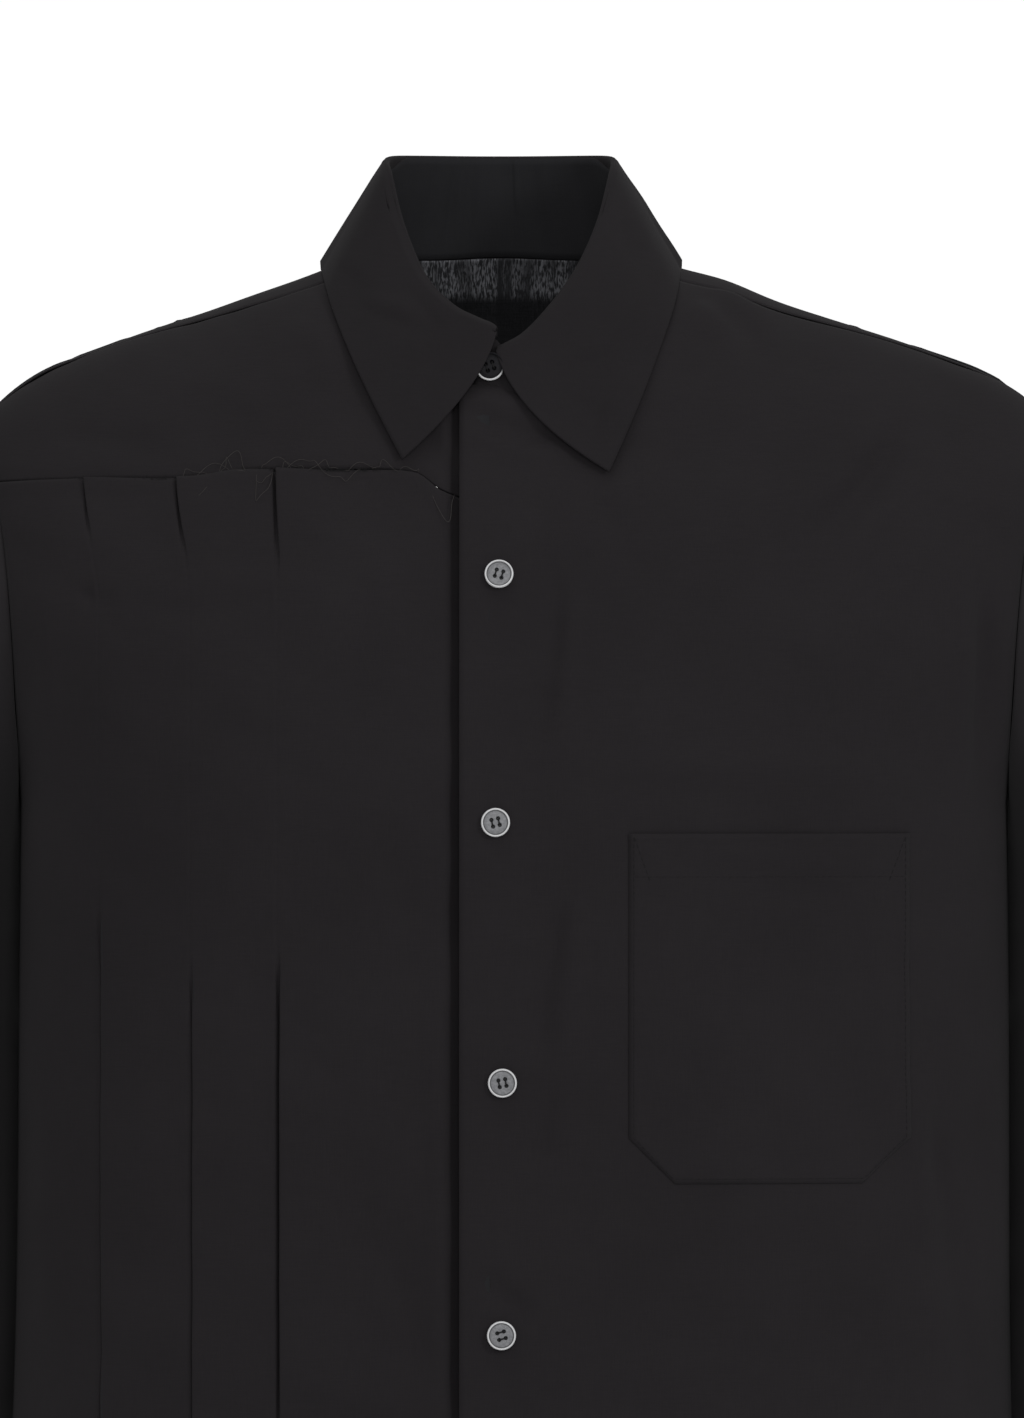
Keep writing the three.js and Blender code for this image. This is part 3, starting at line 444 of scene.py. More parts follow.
class Shader:
    """A material whose nodes are all added by node()."""

    def __init__(self, name):
        self.material = bpy.data.materials.new(name)
        self.material.use_nodes = True
        self.nodes, self.links = self.material.node_tree.nodes, self.material.node_tree.links
        self.nodes.clear()

    def node(self, kind, settings=None, inputs=None, output=0):
        """A node with settings, and inputs by place in a list or by name in a dict; gives one output."""
        made = self.nodes.new(kind)
        for key, value in (settings or {}).items():
            setattr(made, key, value)
        pairs = inputs.items() if isinstance(inputs, dict) else enumerate(inputs or [])
        for key, value in pairs:
            if isinstance(value, Value):
                self.links.new(value.socket, made.inputs[key])
            elif value is not None:
                made.inputs[key].default_value = value
        return Value(self, made.outputs[output])

    def place(self, scale=(1, 1, 1)):
        """Object coordinates, scaled."""
        at = self.node("ShaderNodeTexCoord", output="Object")
        return self.node("ShaderNodeMapping", None, {"Vector": at, "Scale": scale}, output="Vector")

    def noise(self, scale, stretch=(1, 1, 1), detail=2.0):
        """Noise on the stretched object coordinates."""
        inputs = {"Vector": self.place(stretch), "Scale": scale, "Detail": detail}
        return self.node("ShaderNodeTexNoise", None, inputs)

    def mix(self, share, one, other):
        """Colour between one and other."""
        return self.node("ShaderNodeMix", {"data_type": "RGBA"}, {0: share, 6: one, 7: other}, output=2)

    def finish(self, colour, roughness, height=None, bump=0.2, distance=0.0002, **constants):
        """The material with its surface, raised by height, and with constants on the shader's own sockets."""
        inputs = {"Base Color": colour, "Roughness": roughness}
        if height:
            relief = {"Strength": bump, "Distance": distance, "Height": height}
            inputs["Normal"] = self.node("ShaderNodeBump", None, relief, output="Normal")
        inputs.update({key.replace("_", " "): value for key, value in constants.items()})
        surface = self.node("ShaderNodeBsdfPrincipled", None, inputs, output="BSDF")
        end = self.nodes.new("ShaderNodeOutputMaterial")
        self.links.new(surface.socket, end.inputs["Surface"])
        return self.material


def cotton(name, dark, light, bump=0.35, band=None, sheen=0.02):
    """Plain-woven cotton: two sets of slubs across each other, and a slow change of tone. With a band between
    two heights, in metres, fine upright streaks are painted pale inside it as painted light, and near black
    outside it as painted shade."""
    s = Shader(name)
    warp = s.noise(1500, (1, 1, 0.08), 3.0)
    weft = s.noise(1500, (0.08, 0.08, 1), 3.0)
    weave = (warp + weft) * 0.5
    cloud = s.noise(14, detail=3.0)
    share = (weave * 0.7 + cloud * 0.6 - 0.15).above(0.2, 0.8)
    if band:
        # Painted light: the streaks are pale only inside the band; outside it the cloth is painted near black
        # as shade
        height = s.node("ShaderNodeSeparateXYZ", None, [s.place()], output="Z")
        inside = height.above(band[0], band[0] + 0.006) * (1 - height.above(band[1] - 0.0008, band[1]))
        fine = s.noise(1500, (1, 0.05, 0.24), 2.0).above(0.4, 0.62)
        streaks = fine * s.noise(190, (1, 0.05, 0.06), 1.5).above(0.33, 0.62)
        share = share * 0.06 + (inside * 0.97 + 0.03) * streaks * 0.85 + inside * 0.07
    colour = s.mix(share, dark, light)
    return s.finish(colour, 0.86, weave, bump, 0.00025, Specular_IOR_Level=0.2, Sheen_Weight=sheen,
                    Sheen_Roughness=0.6)


def plain(name, colour, roughness=0.8, specular=0.3):
    """One colour all over."""
    s = Shader(name)
    return s.finish(colour, roughness, None, Specular_IOR_Level=specular)


BLACK = cotton("black_cotton_cloth", (0.0156, 0.0134, 0.0152, 1), (0.0204, 0.0178, 0.0199, 1))
# The sleeves: the body's cloth painted about a tenth lighter, as painted light on the shaded sleeve beside
# the body, with more sheen
LIGHTENED_SLEEVE_CLOTH = cotton("black_cotton_sleeve_painted_lighter", (0.0174, 0.0152, 0.017, 1), (0.0224, 0.02, 0.022, 1), sheen=0.09)
STIFF = cotton("black_cotton_interlined", (0.014, 0.0121, 0.0137, 1), (0.0184, 0.0161, 0.0181, 1), 0.3)
INSIDE = cotton("black_cotton_inside", (0.017, 0.017, 0.019, 1), (0.022, 0.022, 0.0245, 1), 0.4)
# The yoke's inside: a streaked band just below the neck is painted light, and the rest is painted shade, near
# black
LINING_WITH_PAINTED_LIGHT = cotton("yoke_lining_painted_light_and_shade", (0.012, 0.012, 0.0135, 1), (0.4, 0.405, 0.44, 1), 0.5, band=(-0.0235, 0.001))
THREAD = plain("black_thread", (0.01, 0.0096, 0.0104, 1))
FRAY = plain("loose_thread", (0.05, 0.045, 0.043, 1), 0.7)


def front_rows(top, bottom, places, counts):
    """Heights of every row at every column: by turn down to the underarm, then evenly down to the hem."""
    heads = np.linspace(0, 1, counts[0])[:, None]
    from_turn = turn_at(places, top, -1)
    to_turn = turn_at(places, np.full(len(places), max(bottom, UNDERARM_HEIGHT)), -1)
    z = turn_to_height(places, from_turn + (to_turn - from_turn) * heads, -1)
    if bottom < UNDERARM_HEIGHT:
        middle = np.linspace(UNDERARM_HEIGHT, -525, counts[1] + 1)[1:]
        low = np.linspace(-525, HEM_HEIGHT, counts[2] + 1)[1:]
        rest = np.concatenate([middle, low])[:, None] + 0 * places
        z = np.vstack([z, rest])
    return z


def from_side(x, z):
    """0 at the side edge of a panel, 1 from 7 mm in."""
    return ease((section(z, "edge") - np.abs(x)) / 7)


def lie(x, z, folds, deepen, broad, small):
    """How a front lies: its folds, deepened, and two kinds of unevenness (seed, size, depth), which all fade
    at the side seam."""
    return from_side(x, z) * (deepen * soft_folds(x, z, folds) + uneven(x, z, *broad) + uneven(x, z, *small))


def left_lift(x, z):
    """Lift of the left front: it rises to its folded edge, and lies in soft folds."""
    return 1.9 * ease(1 - (x + LAP) / 34) + lie(x, z, LEFT_FOLDS, 1.7, (3, 62, 0.5), (8, 23, 0.14))


# The left front's opening edge, folded back: steps aside and behind, from its inner end to the fold
EDGE_TURN = ((13, 1.7), (6, 1.5), (1.2, 1.25), (0.1, 0.95), (-0.35, 0.5), (-0.25, 0.12))


def build_left_front():
    """The left front, its opening edge folded back inside."""
    neck = NECK_HALF * np.sin(np.linspace(math.asin(-LAP / NECK_HALF), math.asin(61.9 / NECK_HALF), 44))
    places = np.concatenate([neck, np.linspace(62.4, TIP_HALF, 70)])
    top = front_top(places)
    top = top + np.maximum(0, -62.5 - top) * ease((27 - np.abs(places)) / 8)
    z = front_rows(top, HEM_HEIGHT, places, (104, 116, 74))
    x = across(places, z)
    base = on_form(x, z, -1)
    points = moved_out(base, left_lift(x, z), -1)
    points[..., 1] += 2.6 * ease(1 - (top - z) / 6) * ease((27 - np.abs(places)) / 8)
    n = normals(points, -1)
    folded_back = [points[:, :1] + np.array([aside, 0, 0]) - n[:, :1] * behind for aside, behind in EDGE_TURN]
    grid = np.concatenate([*folded_back, points[:, 1:]], 1)
    return cloth("left_front_cloth", "left_front", grid, BLACK, -1, inside=INSIDE), grid


def tuck_state(tuck, z):
    """How high a tuck's fold stands at a height, and how open it is underneath."""
    head = ease((z - tuck["shut"] - 2) / (-104 - tuck["shut"]))
    low = ease((tuck["opens"] - z) / (tuck["opens"] - tuck["full"]))
    low = low * (1 - ease((tuck["dies"] + 14 - z) / 70))
    fades = 1 - ease((tuck["dies"] - z) / 120)
    return (0.05 + head * tuck["top"] + low * tuck["low"]) * fades, head + low


def build_tucked_front():
    """The right front below the raw seam; each tuck is a fold with its under layer tucked in behind it."""
    even = np.concatenate([np.linspace(-TIP_HALF, -PLACKET, 86), np.linspace(2 - PLACKET, LAP - 2, 12)])
    clear = [(p, -1) for p in even if all(not -4.6 < p - t["at"] < 2.2 for t in TUCKS)]
    folded = [(t["at"] + 0.01 * i, k) for k, t in enumerate(TUCKS) for i in range(len(TUCK_STEPS))]
    columns = sorted(clear + folded)
    places = np.array([p for p, _ in columns])
    z = front_rows(chest_seam(places) - 0.4, HEM_HEIGHT, places, (84, 116, 74))
    knots = [-TIP_HALF, *(t["at"] for t in TUCKS), -60, LAP]
    x = across(places, z)
    lines = []
    for k, t in enumerate(TUCKS):
        line = t["at"] + t["shift"] * ease((z[:, :1] + 152) / 48)
        weight = np.interp(places, knots, np.eye(len(knots))[k + 1])
        x = x + (line - across(np.float64(t["at"]), z[:, :1])) * weight
        lines.append(line)
    lift = lie(x, z, RIGHT_FOLDS, 1.6, (5, 60, 0.5), (9, 22, 0.13))
    lift = lift - 5.5 * ease((x + 25) / 6.6)
    lift = lift + 1.0 * ease(1 - (chest_seam(x) - z) / 9) * ease((-PLACKET - x) / 12)
    for k, t in enumerate(TUCKS):
        high, opened = tuck_state(t, z)
        past = x - lines[k]
        lift = lift + np.where((past > 0.6) & (past <= TUCK_RUN), high * (1 - past / TUCK_RUN)**1.3, 0)
        mine = [(i, round((p - t["at"]) * 100)) for i, (p, own) in enumerate(columns) if own == k]
        for i, step in mine:
            aside, slot, share, under = TUCK_STEPS[step]
            lift[:, i] += share * high[:, i]
            open_here = np.clip(opened[:, i], 0, 1)
            wide = slot * t["slot"] + under * t["under"]
            x[:, i] = lines[k][:, 0] + TUCK_SHUT[step] + (aside - TUCK_SHUT[step] + wide) * open_here
    base = on_form(x, z, -1)
    flat = on_form(across(places, z), z, -1)
    grid = base + normals(flat, -1) * lift[..., None]
    return cloth("right_front_tucked_cloth", "right_front_tucked", grid, BLACK, -1, inside=INSIDE), grid


def build_right_upper():
    """The right front above the raw seam."""
    neck = NECK_HALF * np.sin(np.linspace(-math.asin(61.9 / NECK_HALF), math.asin((LAP - 2) / NECK_HALF), 44))
    places = np.concatenate([np.linspace(-TIP_HALF, -62.4, 70), neck])
    top = front_top(places)
    from_turn, to_turn = turn_at(places, top, -1), turn_at(places, chest_seam(places) + SEAM, -1)
    z = turn_to_height(places, from_turn + (to_turn - from_turn) * np.linspace(0, 1, 54)[:, None], -1)
    x = across(places, z)
    base = on_form(x, z, -1)
    lift = lie(x, z, SHOULDER_FOLDS, 1.6, (11, 58, 0.5), (12, 21, 0.13))
    lift = lift - 5.0 * ease((x + 25) / 6.6) - 0.5 * ease(1 - (z - chest_seam(x)) / 8)
    grid = moved_out(base, lift, -1)
    return cloth("right_front_upper_cloth", "right_front_upper", grid, BLACK, -1, inside=INSIDE), grid


def back_neck(x):
    """Turn at which the yoke's back neckline lies."""
    depth = NECK_BACK_DEPTH * np.sqrt(np.maximum(0, 1 - (x / NECK_HALF)**2))
    return np.arcsin(np.minimum(1, depth / section(NECK_SIDE_HEIGHT, "back")))


def build_yoke():
    """The yoke, from the shoulder seams over the ridge and down to the seam across the back."""
    inner = 61.9 * np.sin(np.linspace(0, math.pi / 2, 26))[1:]
    half = np.concatenate([inner, np.linspace(62.1, TIP_HALF, 60)])
    places = np.concatenate([-half[::-1], [0], half])
    top = np.where(np.abs(places) < NECK_HALF, back_neck(places),
                   -turn_at(places, ridge(places) - seam_drop(places) + SEAM, -1))
    bottom = turn_at(places, YOKE_HEIGHT + SEAM, 1)
    turn = top + (bottom - top) * np.linspace(0, 1, 58)[:, None]
    face = np.where(turn < 0, -1, 1)
    z = turn_to_height(places, np.abs(turn), face)
    x = across(places, z)
    base = np.stack([lean(x), face * half_depth(x, z, face), z], -1)
    lift = np.where(turn > 0.5, soft_folds(x, z, YOKE_FOLDS), 0) + uneven(x, z, 15, 60, 0.3)
    grid = moved_out(base, lift)
    return cloth("back_yoke_cloth", "back_yoke", grid, BLACK, 1, inside=LINING_WITH_PAINTED_LIGHT), grid


def build_back():
    """The back, one wide panel below the yoke."""
    places = TIP_HALF * np.sin(np.linspace(-math.pi / 2, math.pi / 2, 141))
    heights = np.concatenate([np.linspace(YOKE_HEIGHT - SEAM, UNDERARM_HEIGHT, 34),
                              np.linspace(UNDERARM_HEIGHT, HEM_HEIGHT, 130)[1:]])
    z = heights[:, None] + 0 * places
    x = across(places, z)
    base = on_form(x, z, 1)
    lift = (soft_folds(x, z, BACK_FOLDS) + uneven(x, z, 21, 80, 0.6)) * ease((TIP_HALF - np.abs(places)) / 12)
    grid = moved_out(base, lift)
    return cloth("back_cloth", "back", grid, BLACK, 1, inside=INSIDE), grid


# Sleeve rings: inner side and its height, outer side and its height, half depth, how far back, and how free
# each is of the armhole's shape
SLEEVE_RINGS = np.array([
    (218, -245.6, 238.6, -78.0, 54, 0, 0), (218.2, -249.5, 256, -99.4, 50, 4, 0.3),
    (218, -256, 268, -130.6, 52, 10, 0.6), (218.4, -264, 276, -168, 56, 16, 0.85),
    (217.6, -274, 281.5, -206, 58, 22, 1), (216.6, -290, 285, -248, 59, 28, 1),
    (215.2, -316, 286.5, -298, 59, 34, 1), (213.8, -352, 287, -346, 58, 38, 1),
    (213.2, -392, 286, -392, 57, 40, 1), (213.4, -430, 285, -430, 55, 40, 1),
    (214, -470, 284.6, -470, 53, 40, 1), (215.4, -510, 284, -510, 50, 40, 1),
    (218, -548, 283.6, -548, 47, 39, 1), (221.5, -574, 283, -574, 44, 37, 1),
    (225, -589.6, 282, -589.6, 41, 36, 1),
])
# Sleeve creases: height, place round the sleeve, tilt, how tall and how deep
SLEEVE_CREASES = np.array([
    (-330, 200, 26, 11, 3.2), (-395, 60, -30, 12, 3.6), (-440, 230, 22, 11, 3.4),
    (-505, 110, -20, 10, 3.0), (-552, 300, 14, 9, 2.8), (-300, 90, 18, 9, 1.6), (-360, 320, -22, 9, 1.8),
    (-420, 150, 20, 8, 1.5), (-475, 20, 16, 8, 1.6), (-535, 190, -12, 6, 1.5), (-572, 60, 10, 5, 1.3),
    (-574, 240, -8, 5, 1.4),
])


# Cuffs: their middle, half width and depth, top and height, and the angles where the band starts and laps
CUFF_X = 253.6
CUFF_Y = 36.0
CUFF_HALF_WIDTH = 27.0
CUFF_HALF_DEPTH = 41.0
CUFF_TOP = -590.0
CUFF_HEIGHT = 60.0
CUFF_START = 250.0
CUFF_LAP = 25.6


def armhole(deg):
    """The armhole's edge on the body: (x, y, z) at an angle from the shoulder tip by the front."""
    top = float(ridge(TIP_HALF))
    z = (top + UNDERARM_HEIGHT) / 2 + (top - UNDERARM_HEIGHT) / 2 * np.cos(deg * RAD)
    x = section(z, "edge")
    return x, np.where(deg < 180, -1, 1) * half_depth(x, z, np.where(deg < 180, -1, 1)), z


def sleeve_points(ring, deg, side):
    """Points of a sleeve at fractional rings and angles, blended from the armhole to a free oval."""
    ix, iz, ox, oz, depth, back, loose = (through(np.arange(15), SLEEVE_RINGS[:, k], ring) for k in range(7))
    loose = np.clip(loose, 0, 1)
    reach = np.hypot(ox - ix, oz - iz) / 2
    up_x, up_z = (ox - ix) / (2 * reach), (oz - iz) / (2 * reach)
    hole_x, hole_y, _ = armhole(deg)
    crease = 0
    for height, at, tilt, tall, deep in SLEEVE_CREASES:
        turn = ((deg - at + 540) % 360 - 180) / 180
        crease = crease - deep * np.exp(-(((iz + oz) / 2 - height - tilt * turn) / tall)**2 - (turn * 1.7)**2)
    share = (1 + np.cos(deg * RAD)) / 2
    first = SLEEVE_RINGS[0]
    bowed = (hole_x + ARMHOLE_SEAM - (first[0] + (first[2] - first[0]) * share)) * (1 - loose)
    far = reach * np.cos(deg * RAD) * (1 + crease / reach)
    swing = 8 * (1 - ease((-500 - iz) / 89)) * loose
    x = (ix + ox) / 2 + up_x * far + up_z * bowed + swing * np.sin(deg * RAD)
    z = (iz + oz) / 2 + up_z * far - up_x * bowed
    y = (1 - loose) * hole_y + loose * (back - (depth + crease) * np.sin(deg * RAD))
    return np.stack([lean(side * x), y, z], -1)


def build_sleeve(name, side):
    """One sleeve, with its slit's binding and its cuff."""
    turns = np.arange(76) * 360 / 76
    rings = np.concatenate([np.linspace(0, 4, 40), np.linspace(4, 14, 110)[1:]])
    grid = sleeve_points(rings[:, None], turns[None, :], side)
    rough = uneven(turns * 1.1 + 0 * rings[:, None], grid[..., 2], 31, 60, 0.35)
    grid = moved_out(grid, rough, side, True)
    sleeve = cloth(name + "_sleeve_cloth", name + "_sleeve", grid, LIGHTENED_SLEEVE_CLOTH, side, True, inside=INSIDE)
    made = [(sleeve, grid, True)]
    heights = np.linspace(-452, -584, 40)
    ring = through(-SLEEVE_RINGS[7:, 1], np.arange(7, 15), -heights)
    girth = through(np.arange(15), SLEEVE_RINGS[:, 4], ring)
    off = np.linspace(-10, 10, 12)
    strip = sleeve_points(ring[:, None], 252 + off[None, :] / (girth[:, None] * RAD), side)
    point = np.where(heights > -462, (heights + 462) / 10 * 8, 0)[:, None] * np.abs(off) / 10
    strip[..., 2] -= point
    strip = strip + normals(strip, side) * 1.3
    binding = cloth(name + "_sleeve_binding_cloth", name + "_sleeve_binding", strip, LIGHTENED_SLEEVE_CLOTH, side, thick=0.6)
    made.append((binding, strip, False))
    turn = np.linspace(0, 1, 120)
    down = np.linspace(0, 1, 18)[:, None]
    band = cuff_points(turn, down, side)
    cuff = cloth(name + "_cuff_cloth", name + "_cuff", band, STIFF, side, thick=0.9, inside=INSIDE)
    made.append((cuff, band, False))
    rows = [(np.full(40, r), np.linspace(1, 118, 40)) for r in (1.5, 15.5)]
    stitches(name + "_cuff_stitches", band, side, rows, THREAD)
    facing = np.cross(cuff_points(0.915, 0.5, side) - cuff_points(0.955, 0.5, side), (0, 0, side))
    build_button(name + "_cuff_button", cuff_points(0.95, 0.5, side), facing, 12)
    return made


def cuff_points(turn, down, side):
    """A band round the wrist whose ends lap, the upper end outside the lower one."""
    deg = CUFF_START + turn * (360 + CUFF_LAP)
    out = CLOTH * (2 * turn - 1)
    taper = 1 - 0.04 * down
    x = CUFF_X + (CUFF_HALF_WIDTH * taper + out) * np.cos(deg * RAD)
    y = CUFF_Y - (CUFF_HALF_DEPTH * taper + out) * np.sin(deg * RAD)
    return np.stack(np.broadcast_arrays(lean(side * x), y, CUFF_TOP - CUFF_HEIGHT * down), -1)


def neck_points(deg):
    """The neckline, from the centre back at 0 to the centre front at 180."""
    x = NECK_HALF * np.sin(deg * RAD)
    y = NECK_BACK_DEPTH * np.cos(deg * RAD)
    behind = turn_to_height(x, np.arcsin(np.clip(y / section(NECK_SIDE_HEIGHT, "back"), 0, 1)), 1)
    ahead = np.minimum(neckline(x), ridge(x))
    rear = np.abs(deg) <= 90
    return np.stack([x, np.where(rear, y, -half_depth(x, ahead, -1)), np.where(rear, behind, ahead)], -1)


# Height of the collar's roll: turn from the centre back, then on the wearer's right and on the wearer's left
FOLD_LINE = np.array([
    (0, 41, 41), (50, 40.9, 40.9), (76, 40, 40), (90, 38.2, 38.2), (104, 32, 31), (119, 11.8, 12),
    (138, -13, -10.6), (156, -27.5, -28.4), (169, -33, -39.5), (178, -37, -44), (192, -54, -50),
])


def fold_points(deg):
    """The collar's roll line."""
    turn = np.abs(deg)
    y = np.where(turn < 90, 44, 73) * np.cos(deg * RAD)
    right, left = (through(FOLD_LINE[:, 0], FOLD_LINE[:, k], turn) for k in (1, 2))
    half = np.where(deg > 0, FOLD_HALF_LEFT, FOLD_HALF_RIGHT)
    return np.stack([half * np.sin(deg * RAD), y, np.where(deg > 0, left, right)], -1)


def outwards(deg):
    """Level directions away from the neck's axis."""
    return np.stack([np.sin(deg * RAD), np.cos(deg * RAD), 0 * deg], -1)


def tuck_in(deg):
    """The under end of the stand and collar turns in behind the over end."""
    return np.where(deg < 0, -2.8 * ease((-deg - 138) / 42), 0)[:, None]


def fold_inside(deg):
    """How far the collar reaches down inside its roll."""
    return (15 - 11 * ease((np.abs(deg) - 70) / 110))[:, None]


def build_stand():
    """The collar's stand, with its over end lapping at the centre front."""
    deg = np.concatenate([np.linspace(-189, -180, 6)[:-1], np.linspace(-180, -40, 60)[:-1],
                          np.linspace(-40, 40, 110), np.linspace(40, 180, 60)[1:],
                          np.linspace(180, 192, 7)[1:]])
    foot = neck_points(deg)
    front, side = ease((np.abs(deg) - 80) / 20), ease((np.abs(deg) - 58) / 20)
    foot[:, 2] += 0.9 - 2.2 * front - 0.9 * (1 - side)
    inwards = 0.6 + 0.6 * np.sqrt(np.abs(np.sin(deg * RAD)))
    foot += outwards(deg) * (0.9 * front - (1 - front) * inwards)[:, None]
    top = fold_points(deg)
    height = np.linalg.norm(top - foot, axis=1, keepdims=True)
    low = 5 * side + 3 * front * (1 - ease((np.abs(deg) - 168) / 8))
    reach = (height - 0.5 - low[:, None]) / height
    share = np.linspace(0, 1, 16)[:, None, None]
    grid = foot + (top - foot) * reach * share + outwards(deg) * tuck_in(deg)
    waves = 0.5 * np.sin(deg / 6.1 + 0.6 * np.sin(deg / 3.3))
    waves = waves + 1.1 * np.exp(-((deg + 15) / 3.2)**2) + 0.8 * np.exp(-((deg + 24) / 2.4)**2)
    tick = 0.7 * np.exp(-((deg - 7.6) / 0.9)**2)
    belly = np.sin(np.pi * np.clip(share * 0.9 + 0.05, 0, 1))
    bend = waves[:, None] * belly - tick[:, None] * ease((share - 0.45) / 0.1)
    upper_part = ease((share - 0.3) / 0.4)
    filled = upper_part * (0.2 * side[:, None] - 0.8 * (1 - side[:, None]))
    grid = grid + outwards(deg) * (bend + filled)
    obj = cloth("collar_stand_cloth", "collar_stand", grid, STIFF, -1, thick=0.9, inside=INSIDE)
    return obj, grid


# Collar's leaves: the turn from the centre back where each ends, its tip, and the point that bends its edge
LEFT_LEAF_END = 182.4
RIGHT_LEAF_END = 178
LEFT_TIP = (47.5, -100)
RIGHT_TIP = (43.5, -94.5)
LEFT_BEND = (76, -38)
RIGHT_BEND = (72, -42)


def collar_edge(deg):
    """Outer edge of the collar: just over the yoke behind, and a curve down to each tip in front."""
    turn, side = np.abs(deg), np.where(deg > 0, 1, -1)
    x = COLLAR_HALF * np.sin(deg * RAD)
    y = 58 * np.cos(deg * RAD)
    z = turn_to_height(x, np.arcsin(np.clip(y / section(NECK_SIDE_HEIGHT, "back"), 0, 1)), 1)
    behind = np.stack([x, y + 4.2 * np.cos(deg * RAD), z + 4.2], -1)
    t = np.clip((turn - 90) / (np.where(deg > 0, LEFT_LEAF_END, RIGHT_LEAF_END) - 90), 0, 1)
    tip_x, tip_z = (np.where(deg > 0, left, right) for left, right in zip(LEFT_TIP, RIGHT_TIP))
    bend_x, bend_z = (np.where(deg > 0, left, right) for left, right in zip(LEFT_BEND, RIGHT_BEND))
    x = COLLAR_HALF * (1 - t)**2 + 2 * bend_x * t * (1 - t) + tip_x * t * t
    z = -8.6 * (1 - t)**2 + 2 * bend_z * t * (1 - t) + tip_z * t * t
    ahead = np.stack([side * x, -half_depth(x, z, -1) - 4.2 * ease(t * 6), z], -1)
    return np.where((turn <= 90)[:, None], behind, ahead)


def build_collar():
    """The collar, up inside its roll, over the fold and down to the edge, with its two pointed leaves."""
    half = np.concatenate([np.linspace(0, 100, 46), np.linspace(100, 170, 44)[1:]])
    deg = np.concatenate([np.linspace(-RIGHT_LEAF_END, -170, 14)[:-1], -half[::-1], half[1:],
                          np.linspace(170, LEFT_LEAF_END, 18)[1:]])
    side = np.sign(deg)[:, None]
    front = ease((np.abs(deg) - 110) / 60)[:, None]
    near_end = ease((np.abs(deg) - 157) / 18)[:, None]
    sides = np.exp(-((np.abs(deg) - 88) / 26)**2)[:, None]
    roll = 2.4 * (1 + near_end * np.where(side > 0, 0.1, 0.4) - 0.3 * sides)
    out = outwards(deg)
    fold = fold_points(deg) + out * tuck_in(deg)
    down = neck_points(deg) + out * tuck_in(deg) - fold
    down /= np.linalg.norm(down, axis=1, keepdims=True)
    rows = [fold + down * fold_inside(deg) * t for t in np.linspace(1, 0.12, 14)]
    for t in np.linspace(0, 1, 13)[1:]:
        a = math.pi * t
        fall = 1.8 * (1 - 0.9 * t) - 3.2 * math.sin(a) * (1 - 0.5 * t) + 1.4 * t
        rows.append(fold + out * roll * (1 - math.cos(a)) + down * fall)
    start = rows[-1]
    edge = collar_edge(deg)
    sag = ease((np.abs(deg) - 132) / 46)
    middle = start + (edge - start) * 0.45
    middle[:, 0] -= np.sign(deg) * sag * 14
    middle[:, 2] += sag * np.where(deg > 0, -4, 2)
    middle += out * (0.6 + 1.6 * front)
    for t in np.linspace(0, 1, 52)[1:]:
        rows.append(start * (1 - t)**2 + middle * 2 * t * (1 - t) + edge * t * t)
    grid = np.stack(rows)
    leaf = ease((np.arange(len(rows)) - 26) / 10)[:, None]
    ends = ease((np.where(deg > 0, LEFT_LEAF_END, RIGHT_LEAF_END) - np.abs(deg)) / 3)
    bend = 1.5 * soft_folds(grid[..., 0], grid[..., 2], COLLAR_FOLDS) * (np.abs(deg) > 88)
    rough = uneven(grid[..., 0] * 1.3, grid[..., 2], 41, 34, 0.22) * (0.3 + 0.7 * ends)
    lift = 0.1 + 1.1 * ease((np.arange(len(rows)) - 12) / 8)[:, None] + leaf * (bend + rough)
    grid = moved_out(grid, lift, -1)
    obj = cloth("collar_cloth", "collar", grid, STIFF, -1, thick=0.9, inside=STIFF)
    last = len(rows) - 1
    near = len(deg) - 1
    lines = [(np.array([28.0, last - 4.5]), np.array([1.6, 1.6])),
             (np.full(60, last - 4.5), np.linspace(1.6, near - 1.6, 60)),
             (np.array([last - 4.5, 28.0]), np.array([near - 1.6, near - 1.6]))]
    stitches("collar_stitches", grid, -1, lines, THREAD, radius=0.14)
    return obj, grid


def build_pocket():
    """The chest pocket: the left front's own surface moved out, with its top hem and cut corners."""
    inner, outer, top, bottom, chamfer = 55.4, 175.5, -258.7, -411.8, 20.0
    heights = np.concatenate([np.linspace(top, bottom + chamfer, 58),
                              np.linspace(bottom + chamfer, bottom, 12)[1:]])
    cut = np.maximum(0, bottom + chamfer - heights)[:, None]
    z = heights[:, None] + 0 * np.linspace(0, 1, 56)
    x = inner + cut + (outer - inner - 2 * cut) * np.linspace(0, 1, 56)
    base = on_form(x, z, -1)
    rim = ease(np.minimum.reduce([x - inner - cut, outer - cut - x, z - bottom]) / 2.2)
    lift = left_lift(x, z) + 0.45 + 0.6 * rim + soft_folds(x, z, POCKET_FOLDS) * rim
    lift = lift + 0.35 * ease(1 - (top - z) / 5)
    grid = moved_out(base, lift, -1)
    obj = cloth("chest_pocket_cloth", "chest_pocket", grid, BLACK, -1, thick=0.45)
    ends = len(heights) - 1
    down = np.array([0.5, 57, ends - 1.2])
    slant = np.array([0.5, 9.0])
    lines = [(down, np.full(3, 1.0)), (np.full(30, ends - 1.1), np.linspace(1, 54, 30)),
             (down, np.full(3, 54.0)), (slant, np.array([1.0, 4.2])), (slant, np.array([54.0, 50.8]))]
    stitches("pocket_stitches", grid, -1, lines, THREAD, radius=0.12)
    hem = [(np.full(30, 8.1), np.linspace(1, 54, 30))]
    stitches("pocket_hem_stitches", grid, -1, hem, THREAD, radius=0.08)
    return obj, grid


def turned(points, facing):
    """Points turned so that their z direction lies along facing, with x kept level."""
    z = np.asarray(facing, float) / np.linalg.norm(facing)
    x = np.cross((0, 0, 1), z)
    x /= np.linalg.norm(x)
    return points @ np.stack([x, np.cross(z, x), z])


